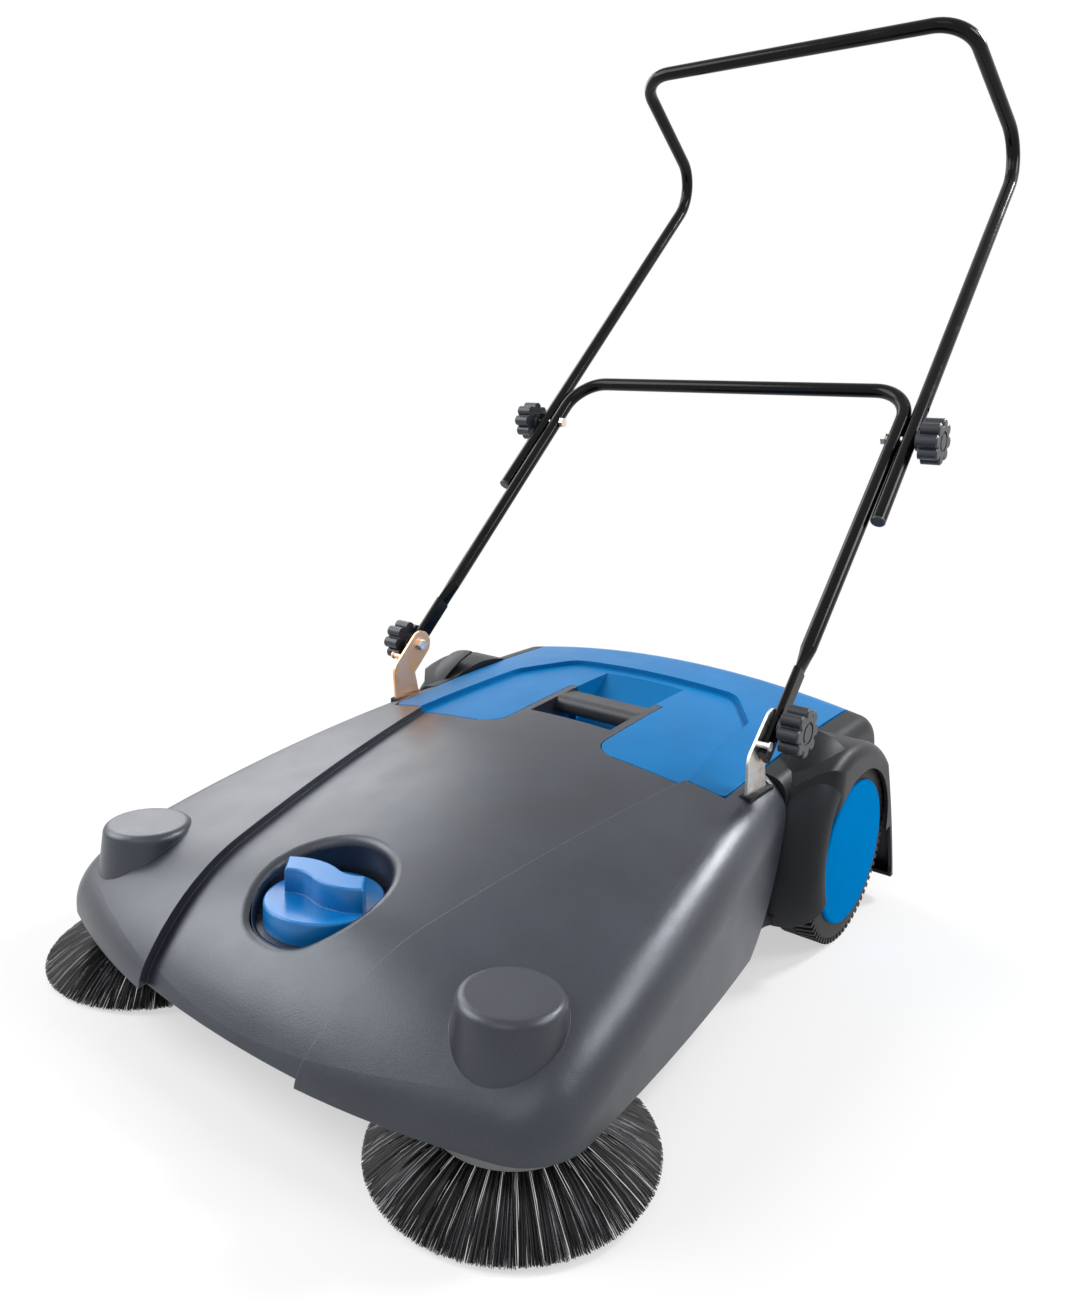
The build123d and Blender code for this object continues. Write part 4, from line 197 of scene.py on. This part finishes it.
def linear(hex_colour):
    """A screen colour such as 1973BE as linear red, green, blue and full alpha."""
    channels = [int(hex_colour[i:i + 2], 16) / 255 for i in (0, 2, 4)]
    return tuple(c / 12.92 if c <= 0.04045 else ((c + 0.055) / 1.055) ** 2.4 for c in channels) + (1.0,)


class Value:
    """One output of a shader node, used in ordinary arithmetic."""

    def __init__(self, finish, socket):
        self.finish = finish
        self.socket = socket

    def math(self, operation, first, second):
        """A Math node on two values or numbers."""
        return self.finish.node("ShaderNodeMath", {"operation": operation}, {0: first, 1: second}, 0)

    def __add__(self, other):
        return self.math("ADD", self, other)

    def __radd__(self, other):
        return self.math("ADD", other, self)

    def __sub__(self, other):
        return self.math("SUBTRACT", self, other)

    def __rsub__(self, other):
        return self.math("SUBTRACT", other, self)

    def __mul__(self, other):
        return self.math("MULTIPLY", self, other)

    def __rmul__(self, other):
        return self.math("MULTIPLY", other, self)


class Finish:
    """A material under construction, with the nodes that feed its shader."""

    def __init__(self, name, **constants):
        self.material = bpy.data.materials.new(name)
        self.material.use_nodes = True
        self.tree = self.material.node_tree
        self.shader = self.tree.nodes["Principled BSDF"]
        for socket, value in constants.items():
            self.shader.inputs[socket.replace("_", " ")].default_value = value

    def node(self, kind, settings, inputs, output):
        """A node of that kind with its settings made first, then its sockets; gives one output."""
        made = self.tree.nodes.new(kind)
        for name, setting in settings.items():
            setattr(made, name, setting)
        for name, value in inputs.items():
            if isinstance(value, Value):
                self.tree.links.new(value.socket, made.inputs[name])
            else:
                made.inputs[name].default_value = value
        return Value(self, made.outputs[output])

    def place(self):
        """Object coordinates."""
        return self.node("ShaderNodeTexCoord", {}, {}, "Object")

    def noise(self, grain, detail=2.0, rough=0.5):
        """Noise from 0 to 1 whose grains are about that many metres across."""
        inputs = {"Vector": self.place(), "Scale": 1 / grain, "Detail": detail, "Roughness": rough}
        return self.node("ShaderNodeTexNoise", {}, inputs, 0)

    def cells(self, grain):
        """Distance to the nearest of scattered points about that many metres apart."""
        inputs = {"Vector": self.place(), "Scale": 1 / grain}
        return self.node("ShaderNodeTexVoronoi", {}, inputs, "Distance")

    def span(self, value, low, high, to_low=0.0, to_high=1.0):
        """The value's stretch from low to high, spread over another range and held at its ends."""
        inputs = {"Value": value, "From Min": low, "From Max": high, "To Min": to_low, "To Max": to_high}
        return self.node("ShaderNodeMapRange", {"interpolation_type": "SMOOTHSTEP"}, inputs, "Result")

    def mix(self, share, first, second):
        """One colour going over to another."""
        return self.node("ShaderNodeMix", {"data_type": "RGBA"}, {0: share, 6: first, 7: second}, 2)

    def rounded(self, radius):
        """The surface's normal with its sharp edges rounded to that radius."""
        return self.node("ShaderNodeBevel", {"samples": EDGE_SAMPLES}, {"Radius": radius}, "Normal")

    def edge(self, radius):
        """1 along sharp edges, 0 on open faces."""
        plain = self.node("ShaderNodeNewGeometry", {}, {}, "Normal")
        turned = {0: self.rounded(radius), 1: plain}
        match = self.node("ShaderNodeVectorMath", {"operation": "DOT_PRODUCT"}, turned, "Value")
        return self.span(match, *EDGE_MATCH)

    def rays(self, centre, fineness):
        """Noise in fine rays round an upright axis, the same on the right and on the left."""
        place = self.place()
        x = self.node("ShaderNodeSeparateXYZ", {}, {0: place}, "X")
        y = self.node("ShaderNodeSeparateXYZ", {}, {0: place}, "Y")
        turn = x.math("ARCTAN2", y - centre[1], x.math("ABSOLUTE", x, 0.0) - centre[0])
        inputs = {"W": turn * fineness, "Scale": 1.0, "Detail": 1.0}
        return self.node("ShaderNodeTexNoise", {"noise_dimensions": "1D"}, inputs, 0)

    def colour(self, value):
        self.tree.links.new(value.socket, self.shader.inputs["Base Color"])

    def roughness(self, value):
        self.tree.links.new(value.socket, self.shader.inputs["Roughness"])

    def metallic(self, value):
        self.tree.links.new(value.socket, self.shader.inputs["Metallic"])

    def relief(self, height, depth, edge_radius=0.0):
        """Bump of that depth in metres, over edges rounded to a radius."""
        inputs = {"Height": height, "Distance": depth}
        if edge_radius:
            inputs["Normal"] = self.rounded(edge_radius)
        bump = self.node("ShaderNodeBump", {}, inputs, "Normal")
        self.tree.links.new(bump.socket, self.shader.inputs["Normal"])


def moulded(name, colour, cloud, scuff_and_painted_highlight_colour, dull, shine, grain, depth, edge):
    """Satin moulded plastic: the mould's fine grain, faint flow clouds, paler scuffs along the edges that
    are partly a painted edge highlight.
    """
    finish = Finish(name, IOR=1.48, Specular_IOR_Level=shine, Specular_Tint=linear(SHEEN_TINT))
    clouds = finish.noise(CLOUD_SIZE, 3.0)
    specks = finish.noise(grain * 2.2, 1.0)
    # Paler along sharp edges: partly scuffing, partly a painted edge highlight
    scuffs_and_painted_highlight = finish.edge(edge * 1.6) * finish.span(finish.noise(SCUFF_AND_PAINTED_HIGHLIGHT_SIZE, 3.0, 0.6), 0.3, 0.62)
    flow = finish.span(clouds * CLOUD_SHARE + specks * (1 - CLOUD_SHARE), 0.36, 0.64)
    tone = finish.mix(flow, linear(colour), linear(cloud))
    finish.colour(finish.mix(scuffs_and_painted_highlight * SCUFF_AND_PAINTED_HIGHLIGHT_SHARE, tone, linear(scuff_and_painted_highlight_colour)))
    satin = (dull - SHEEN_SPREAD, dull + SHEEN_SPREAD)
    sheen = finish.span(finish.noise(SHEEN_SIZE, 3.0), *NOISE_REACH, *satin)
    finish.roughness(sheen + scuffs_and_painted_highlight * SCUFF_DULLING)
    finish.relief(finish.noise(grain, 2.5, 0.55), depth, edge)
    return finish.material


def rubber(name, colour, dusty):
    """Dull rubber with a fine pebble and floor dust."""
    finish = Finish(name, IOR=1.5, Specular_IOR_Level=0.3)
    dust = finish.span(finish.noise(20 * MM, 4.0, 0.65), 0.5, 0.78)
    finish.colour(finish.mix(dust * 0.45, linear(colour), linear(dusty)))
    finish.roughness(finish.span(dust, 0.0, 1.0, 0.62, 0.86))
    finish.relief(finish.noise(1.1 * MM, 3.0, 0.6), 0.12 * MM, 0.5 * MM)
    return finish.material


def black_enamel():
    """Glossy black enamel on steel tube: faint orange peel, soft handling marks."""
    finish = Finish("black_enamel", IOR=1.5, Specular_IOR_Level=0.16)
    marks = finish.span(finish.noise(30 * MM, 4.0, 0.6), 0.45, 0.75)
    finish.colour(finish.mix(marks * 0.5, linear("040405"), linear("0C0C0E")))
    finish.roughness(finish.span(marks, 0.0, 1.0, 0.14, 0.24))
    finish.relief(finish.noise(3.2 * MM, 2.0), 0.05 * MM)
    return finish.material


def zinc_plate(name, painted_warm_reflection):
    """Bright zinc plating: pale spangle, a faint warm passivated cast, a painted warm reflection raised by
    the second argument, and small pits.
    """
    finish = Finish(name, Metallic=1.0)
    spangle = finish.cells(6 * MM)
    passivated_cast_and_painted_reflection = finish.span(finish.noise(30 * MM, 2.0), 0.42, 0.68, painted_warm_reflection, painted_warm_reflection + 0.3)
    pale = finish.mix(spangle, linear("E6E7E5"), linear("D3D5D4"))
    # Orange mixed in: a faint passivated cast, plus a painted warm reflection where the second argument
    # raises it
    finish.colour(finish.mix(passivated_cast_and_painted_reflection, pale, linear("F0AC74")))
    finish.roughness(finish.span(finish.noise(4 * MM, 3.0), *NOISE_REACH, 0.36, 0.5))
    finish.relief(finish.noise(1.4 * MM, 3.0, 0.6), 0.06 * MM, 0.5 * MM)
    return finish.material


def coated_steel():
    """Dark powder-coated steel of the chassis, with dust lying in its grain."""
    finish = Finish("coated_steel", IOR=1.5)
    dust = finish.span(finish.noise(50 * MM, 5.0, 0.62), 0.46, 0.74)
    finish.colour(finish.mix(dust * 0.5, linear("242528"), linear("504E4A")))
    finish.roughness(finish.span(dust, 0.0, 1.0, 0.42, 0.7))
    finish.relief(finish.noise(1.2 * MM, 2.0), 0.08 * MM, 0.6 * MM)
    return finish.material


def broom_nylon():
    """Glossy black nylon whose strands differ a little in tone from one ray of the side broom to the next,
    with pale metallic strands of painted sheen on some rays.
    """
    finish = Finish("broom_nylon", IOR=1.53, Specular_IOR_Level=0.7)
    hub = JOINTS["right_broom_spin"]["pos_m"]
    rays = finish.rays(hub, BROOM_TONE_RAYS)
    # Pale metallic rays: a painted sheen that stands in for the glints on the strands
    sheen = finish.span(finish.rays(hub, BROOM_PAINTED_SHEEN_RAYS), 0.57, 0.68)
    tone = finish.mix(finish.span(rays, 0.36, 0.66), linear("08080A"), linear("363437"))
    finish.colour(finish.mix(sheen, tone, linear("8E8D92")))
    finish.roughness(finish.span(rays, *NOISE_REACH, 0.3, 0.16))
    finish.metallic(sheen * 0.75)
    return finish.material


def roller_nylon():
    """Black nylon of the sweeping roller, dusty towards some tufts."""
    finish = Finish("roller_nylon", IOR=1.53, Specular_IOR_Level=0.5)
    dust = finish.span(finish.noise(12 * MM, 3.0), 0.45, 0.75)
    finish.colour(finish.mix(dust, linear("141316"), linear("3E3A38")))
    finish.roughness(finish.span(dust, 0.0, 1.0, 0.25, 0.5))
    return finish.material


def make_finishes():
    """Every finish by name."""
    plastics = {finish: moulded(*values) for finish, values in MOULDINGS.items()}
    return plastics | {
        "tyre": rubber("tyre_rubber", "242223", "454140"),
        "belt": rubber("belt_rubber", "1F1F20", "3A3836"),
        "enamel": black_enamel(),
        "zinc": zinc_plate("zinc_plate", 0.0),
        # The left bracket's strong orange cast is a painted warm reflection
        "zinc_with_painted_warm_reflection": zinc_plate("zinc_plate_with_painted_warm_reflection", 0.72),
        "frame": coated_steel(),
        "broom": broom_nylon(),
        "roller": roller_nylon(),
    }


FINISHES = make_finishes()

# Finish of each CAD node that stays in view
NODE_FINISHES = {
    "hood": ("front_hood",),
    "lid": ("hopper_lid", "hopper_bin"),
    "dial": ("adjusting_knob",),
    "hub": ("right_hubcap", "left_hubcap"),
    "trim": ("right_wheel_housing", "left_wheel_housing", "right_bracket_collar", "left_bracket_collar"),
    "knob": ("right_pivot_knob", "left_pivot_knob", "right_clamp_knob", "left_clamp_knob", "handle_caps"),
    "grip": ("carry_grip",),
    "broom_hub": ("right_broom_hub", "left_broom_hub", "support_roller"),
    "pulley": (
        "wheel_pulley", "wheel_spacer", "right_roller_pulley", "left_roller_pulley", "right_broom_pulley",
        "left_broom_pulley", "right_broom_bush", "left_broom_bush", "roller_bearings", "roller_core",
        "right_wheel_rim", "left_wheel_rim",
    ),
    "tyre": ("dust_flap",),
    "belt": ("drive_belt", "right_broom_belt", "left_broom_belt"),
    "enamel": ("lower_handle", "upper_handle"),
    "zinc": (
        "hood_screws", "housing_screws", "bracket_screws", "stub_axles", "wheel_clips", "roller_shaft",
        "right_broom_spindle", "left_broom_spindle", "adjusting_screw", "support_axle", "support_fork",
        "pivot_bolts", "clamp_bolts", "right_handle_bracket",
    ),
    # The left bracket's orange cast is a painted warm reflection
    "zinc_with_painted_warm_reflection": ("left_handle_bracket",),
    "frame": ("chassis_frame",),
}


def dress_nodes():
    """Give each CAD node its finish."""
    for finish, names in NODE_FINISHES.items():
        for name in names:
            node = frame["nodes"][name]
            node.data.materials.clear()
            node.data.materials.append(FINISHES[finish])


def finished(name, bm, finish, body, slot, *nodes):
    """A bmesh made into a piece that rides on a body and stands for CAD nodes."""
    mesh = bpy.data.meshes.new(name)
    bm.to_mesh(mesh)
    bm.free()
    mesh.shade_smooth()
    mesh.set_sharp_from_angle(angle=SMOOTH_ANGLE)
    mesh.materials.append(FINISHES[finish])
    piece = bpy.data.objects.new(name, mesh)
    bpy.context.scene.collection.objects.link(piece)
    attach(piece, body)
    if nodes:
        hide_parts(*nodes)


def spun(bm, outline, axis, steps):
    """Turn a closed outline of points a full turn about an axis through the origin."""
    corners = [bm.verts.new(point) for point in outline]
    edges = [bm.edges.new((corners[i - 1], corners[i])) for i in range(len(corners))]
    bmesh.ops.spin(
        bm, geom=corners + edges, cent=(0, 0, 0), axis=axis, angle=FULL_TURN, steps=steps, use_merge=True
    )
    bmesh.ops.remove_doubles(bm, verts=bm.verts, dist=MERGE_DISTANCE)
    bmesh.ops.recalc_face_normals(bm, faces=bm.faces)


def strand(bm, points):
    """One bristle through its points, drawn in and closed at the tip."""
    heading = (points[1] - points[0]).to_track_quat("Z", "Y").to_matrix().to_4x4()
    made = bmesh.ops.create_circle(
        bm, segments=STRAND_SIDES, radius=STRAND_RADIUS, matrix=Matrix.Translation(points[0]) @ heading
    )
    ring = made["verts"]
    edges = list(dict.fromkeys(edge for vert in ring for edge in vert.link_edges))
    for start, end in zip(points, points[1:]):
        grown = bmesh.ops.extrude_edge_only(bm, edges=edges)["geom"]
        ring = [item for item in grown if isinstance(item, bmesh.types.BMVert)]
        edges = [item for item in grown if isinstance(item, bmesh.types.BMEdge) and item.is_boundary]
        bmesh.ops.translate(bm, vec=end - start, verts=ring)
    narrow = Matrix.Scale(STRAND_TIP_SHARE, 4)
    bmesh.ops.transform(bm, matrix=narrow, space=Matrix.Translation(-points[-1]), verts=ring)
    bmesh.ops.contextual_create(bm, geom=edges)


def bowed(root, tip, bow):
    """Points of a bristle from root to tip that bows along a vector."""
    shares = [step / STRAND_STEPS for step in range(STRAND_STEPS + 1)]
    return [root.lerp(tip, share) + bow * (4 * share * (1 - share)) for share in shares]


def scatter(draw, radius):
    """A point on a disc, spread evenly."""
    reach = radius * math.sqrt(draw.random())
    turn = FULL_TURN * draw.random()
    return reach * math.cos(turn), reach * math.sin(turn)


def broom_tuft(row, seed):
    """Mesh of one fanned tuft of a side broom, pointing along +X."""
    draw = random.Random(seed)
    bm = bmesh.new()
    for number in range(row["strands"]):
        share = 2 * (number + draw.random()) / row["strands"] - 1
        side = BROOM_HOLE_RADIUS * share
        along = draw.uniform(-1, 1) * math.sqrt(BROOM_HOLE_RADIUS ** 2 - side ** 2)
        fan = row["fan"] * share
        reach = BROOM_TIP_RADIUS - row["shorter"] - abs(draw.gauss(0, BROOM_UNEVEN_MM)) * MM
        root = Vector((row["root"] + along, side, BROOM_ROOT_LEVEL))
        tip = Vector((math.sqrt(reach ** 2 - fan ** 2), fan, draw.uniform(*BROOM_TIP_LIFT)))
        bow = BROOM_BOW_HEADING * BROOM_BOW * draw.uniform(*BROOM_BOW_SPREAD)
        strand(bm, bowed(root, tip, bow))
    bmesh.ops.recalc_face_normals(bm, faces=bm.faces)
    return baked(bm)


def baked(bm):
    """A bmesh as a mesh to copy from."""
    mesh = bpy.data.meshes.new("tuft")
    bm.to_mesh(mesh)
    bm.free()
    return mesh


def stamp(bm, mesh, matrix):
    """Add a copy of a mesh, moved by a matrix."""
    copy = mesh.copy()
    copy.transform(matrix)
    bm.from_mesh(copy)
    bpy.data.meshes.remove(copy)


def side_broom(side):
    """Backing ring and tufts of one side broom."""
    joint = JOINTS[f"{side}_broom_spin"]
    lean = Vector(joint["axis"]).to_track_quat("Z", "Y").to_matrix().to_4x4()
    place = Matrix.Translation(joint["pos_m"]) @ lean
    bm = bmesh.new()
    inner, outer, low, high = BROOM_BACKING
    section = [(inner, 0, low), (outer, 0, low), (outer, 0, high), (inner, 0, high)]
    spun(bm, section, (0, 0, 1), BROOM_BACKING_STEPS)
    for number, row in enumerate(BROOM_ROWS):
        tufts = [broom_tuft(row, BROOM_ROW_SEEDS * number + kind) for kind in range(TUFT_KINDS)]
        for position in range(BROOM_TUFTS):
            turn = FULL_TURN * (position + row["shift"]) / BROOM_TUFTS
            stamp(bm, tufts[position % TUFT_KINDS], Matrix.Rotation(turn, 4, "Z"))
    bmesh.ops.transform(bm, matrix=place, verts=bm.verts)
    finished(f"{side}_broom_tufts", bm, "broom", f"{side}_broom", "bristle_nylon", f"{side}_broom_bristles")


def roller_tuft(seed):
    """Mesh of one tuft of the sweeping roller, pointing along +Z from its axis."""
    draw = random.Random(seed)
    bm = bmesh.new()
    for _ in range(ROLLER_STRANDS):
        along, across = scatter(draw, ROLLER_HOLE_RADIUS)
        root = Vector((along, across, ROLLER_SLEEVE[1] - ROLLER_ROOT_SUNK))
        spread = ROLLER_FAN / ROLLER_HOLE_RADIUS
        reach = ROLLER_TIP_RADIUS - abs(draw.gauss(0, ROLLER_UNEVEN_MM)) * MM
        tip = Vector((along * spread, across * spread, 0))
        tip.z = math.sqrt(reach ** 2 - tip.y ** 2)
        bow = Vector((draw.uniform(-1, 1), draw.uniform(-1, 1), 0)) * ROLLER_BOW
        strand(bm, bowed(root, tip, bow))
    bmesh.ops.recalc_face_normals(bm, faces=bm.faces)
    return baked(bm)


def sweeping_roller():
    """Sleeve and spiral rows of tufts of the sweeping roller."""
    bm = bmesh.new()
    inner, outer, half = ROLLER_SLEEVE
    section = [(-half, 0, inner), (half, 0, inner), (half, 0, outer), (-half, 0, outer)]
    spun(bm, section, (1, 0, 0), ROLLER_SLEEVE_STEPS)
    tufts = [roller_tuft(ROLLER_SEEDS + kind) for kind in range(TUFT_KINDS)]
    for row in range(ROLLER_ROWS):
        for position in range(ROLLER_ROW_TUFTS):
            share = (position + 0.5) / ROLLER_ROW_TUFTS
            turn = FULL_TURN * row / ROLLER_ROWS + ROLLER_TWIST * share
            shift = Matrix.Translation(((2 * share - 1) * (half - ROLLER_FAN), 0, 0))
            stamp(bm, tufts[(row + position) % TUFT_KINDS], shift @ Matrix.Rotation(turn, 4, "X"))
    axle = JOINTS["sweeping_roller_spin"]["pos_m"]
    bmesh.ops.translate(bm, vec=(0, axle[1], axle[2]), verts=bm.verts)
    finished("sweeping_roller_tufts", bm, "roller", "sweeping_roller", "bristle_nylon", "roller_bristles")


def tread_lug(direction):
    """Mesh of one slanted lug on top of the tyre, from its middle to its shoulder."""
    bm = bmesh.new()
    pitch = FULL_TURN * TYRE_RADIUS / LUGS
    height = LUG_TOP - TYRE_BASE_RADIUS + LUG_SUNK
    bmesh.ops.create_cube(bm, size=1.0)
    size = Vector((TYRE_HALF_WIDTH - 2 * LUG_INSET, pitch * LUG_SHARE, height))
    bmesh.ops.scale(bm, vec=size, verts=bm.verts)
    slant = Matrix.Identity(4)
    slant[1][0] = math.tan(LUG_SLANT) * direction
    bmesh.ops.transform(bm, matrix=slant, verts=bm.verts)
    middle = Vector((direction * (size.x / 2 + LUG_INSET), 0, LUG_TOP - size.z / 2))
    bmesh.ops.translate(bm, vec=middle, verts=bm.verts)
    outer = [e for e in bm.edges if all(v.co.z > LUG_TOP - MM for v in e.verts)]
    bmesh.ops.bevel(
        bm, geom=outer, offset=LUG_EDGE, segments=LUG_EDGE_STEPS, profile=0.5, affect="EDGES", material=-1
    )
    return baked(bm)


def tyre(side):
    """Tyre with a plain sidewall and two rows of slanted lugs."""
    bm = bmesh.new()
    outline = [(inset - TYRE_HALF_WIDTH, 0, radius) for inset, radius in TYRE_SECTION]
    mirrored = [(-x, y, z) for x, y, z in reversed(outline)]
    spun(bm, outline + mirrored, (1, 0, 0), TYRE_STEPS)
    lugs = {direction: tread_lug(direction) for direction in (1, -1)}
    for position in range(LUGS):
        for direction, lug in lugs.items():
            turn = FULL_TURN * (position + LUG_STAGGER * direction) / LUGS
            stamp(bm, lug, Matrix.Rotation(turn, 4, "X"))
    place = Vector((SIDES[side] * TYRE_MIDDLE_X, 0, TYRE_RADIUS))
    bmesh.ops.translate(bm, vec=place, verts=bm.verts)
    finished(f"{side}_tyre_tread", bm, "tyre", f"{side}_wheel", "tyre_rubber", f"{side}_tyre")


def fairing(side):
    """Fender that leads from the wheel housing round the front of the tyre, its lip cut away below."""
    bm = bmesh.new()
    shares = [step / FAIRING_SECTION_STEPS for step in range(FAIRING_SECTION_STEPS + 1)]
    turns = [math.pi / 2 * share for share in shares]
    reach = FAIRING_LIP_X - FAIRING_ROOT_X
    rise = FAIRING_ROOT_RADIUS - FAIRING_LIP_RADIUS
    outside = [(reach * math.sin(turn), rise * math.cos(turn)) for turn in turns]
    inner = 1 - FAIRING_WALL / rise
    inside = [
        (across - FAIRING_WALL * math.sin(turn), along * inner)
        for turn, (across, along) in zip(turns, outside)
    ]
    outline = outside + inside[::-1]
    corners = [bm.verts.new((FAIRING_ROOT_X + x, -FAIRING_LIP_RADIUS - r, 0)) for x, r in outline]
    edges = [bm.edges.new((corners[i - 1], corners[i])) for i in range(len(corners))]
    axis = Vector((math.cos(FAIRING_LEAN), 0, math.sin(FAIRING_LEAN)))
    bmesh.ops.rotate(bm, cent=(0, 0, 0), matrix=Matrix.Rotation(-FAIRING_TOP, 3, axis), verts=corners)
    sweep = FAIRING_TOP - FAIRING_END
    bmesh.ops.spin(
        bm, geom=corners + edges, cent=(0, 0, 0), axis=axis, angle=sweep, steps=FAIRING_TURN_STEPS
    )
    bmesh.ops.translate(bm, vec=(0, 0, TYRE_RADIUS), verts=bm.verts)
    for cut, facing in ((FAIRING_FOOT, Vector((0, 0, 1))), (FAIRING_LIP_END, FAIRING_LIP_FACING)):
        whole = bm.verts[:] + bm.edges[:] + bm.faces[:]
        bmesh.ops.bisect_plane(bm, geom=whole, plane_co=cut, plane_no=facing, clear_inner=True)
        bmesh.ops.holes_fill(bm, edges=[edge for edge in bm.edges if edge.is_boundary])
    bmesh.ops.scale(bm, vec=(SIDES[side], 1, 1), verts=bm.verts)
    bmesh.ops.recalc_face_normals(bm, faces=bm.faces)
    finished(f"{side}_wheel_fairing", bm, "trim", "body", "hood_plastic")


def seen_directly(finish):
    """1 for rays from the camera, and for those that a mirror or glass sends on."""
    seen = finish.node("ShaderNodeLightPath", {}, {}, "Is Camera Ray")
    for ray in ("Is Glossy Ray", "Is Transmission Ray"):
        seen = seen.math("MAXIMUM", seen, finish.node("ShaderNodeLightPath", {}, {}, ray))
    return seen


def white_stage():
    """Pale floor that keeps the shadow and goes over to plain white further out."""
    bm = bmesh.new()
    bmesh.ops.create_grid(bm, x_segments=1, y_segments=1, size=FLOOR_REACH)
    mesh = bpy.data.meshes.new("floor")
    bm.to_mesh(mesh)
    bm.free()
    floor = bpy.data.objects.new("floor", mesh)
    bpy.context.scene.collection.objects.link(floor)
    finish = Finish("floor_white", Base_Color=FLOOR_COLOUR, Roughness=0.9, Specular_IOR_Level=0.1)
    seen = seen_directly(finish)
    far = finish.node("ShaderNodeVectorMath", {"operation": "LENGTH"}, {0: finish.place()}, "Value")
    share = finish.span(far, *FLOOR_FADE, *FLOOR_GLOW) * seen
    glow = finish.node("ShaderNodeEmission", {}, {"Color": WHITE}, 0)
    shaded = Value(finish, finish.shader.outputs[0])
    blended = finish.node("ShaderNodeMixShader", {}, {0: share, 1: shaded, 2: glow}, 0)
    finish.tree.links.new(blended.socket, finish.tree.nodes["Material Output"].inputs["Surface"])
    mesh.materials.append(finish.material)


class Surroundings(Finish):
    """The world's nodes, built as a finish's are."""

    def __init__(self, name):
        self.world = bpy.data.worlds.new(name)
        self.world.use_nodes = True
        self.tree = self.world.node_tree


def white_world():
    """Plain white behind the object, and a lower even light on it."""
    surroundings = Surroundings("white_room")
    seen = seen_directly(surroundings)
    background = surroundings.tree.nodes["Background"]
    background.inputs["Color"].default_value = WHITE
    strength = seen * (1 - AMBIENT) + AMBIENT
    surroundings.tree.links.new(strength.socket, background.inputs["Strength"])
    bpy.context.scene.world = surroundings.world


def softboxes():
    """Large soft lamps round the object."""
    for name, box in SOFTBOXES.items():
        lamp = bpy.data.lights.new(name, "AREA")
        lamp.shape = "DISK"
        lamp.size = box["size"]
        lamp.energy = box["power"]
        lamp_object = bpy.data.objects.new(name, lamp)
        bpy.context.scene.collection.objects.link(lamp_object)
        place = Vector(box["place"])
        aim = (Vector(box["faces"]) - place).to_track_quat("-Z", "Y").to_matrix().to_4x4()
        lamp_object.matrix_world = Matrix.Translation(place) @ aim
        lamp_object.visible_camera = False


def photo_camera():
    """Camera at the photograph's view."""
    data = bpy.data.cameras.new("photo_camera")
    data.sensor_fit = "VERTICAL"
    data.sensor_height = SENSOR_HEIGHT
    data.lens = SENSOR_HEIGHT * FOCAL_PIXELS / PHOTO_HEIGHT
    camera = bpy.data.objects.new("photo_camera", data)
    bpy.context.scene.collection.objects.link(camera)
    flat = math.cos(CAMERA_HEIGHT)
    back = Vector(
        (math.sin(CAMERA_BEARING) * flat, -math.cos(CAMERA_BEARING) * flat, math.sin(CAMERA_HEIGHT))
    )
    level = Vector((math.cos(CAMERA_BEARING), math.sin(CAMERA_BEARING), 0))
    upright = back.cross(level)
    right = level * math.cos(CAMERA_TILT) + upright * math.sin(CAMERA_TILT)
    up = upright * math.cos(CAMERA_TILT) - level * math.sin(CAMERA_TILT)
    turn = Matrix((right, up, back)).transposed().to_4x4()
    camera.matrix_world = Matrix.Translation(CAMERA_PLACE) @ turn
    bpy.context.scene.camera = camera


dress_nodes()
for wheel_side in SIDES:
    side_broom(wheel_side)
    tyre(wheel_side)
    fairing(wheel_side)
sweeping_roller()
white_stage()
white_world()
softboxes()
photo_camera()
bpy.context.scene.view_settings.view_transform = "Standard"

bpy.context.view_layer.update()
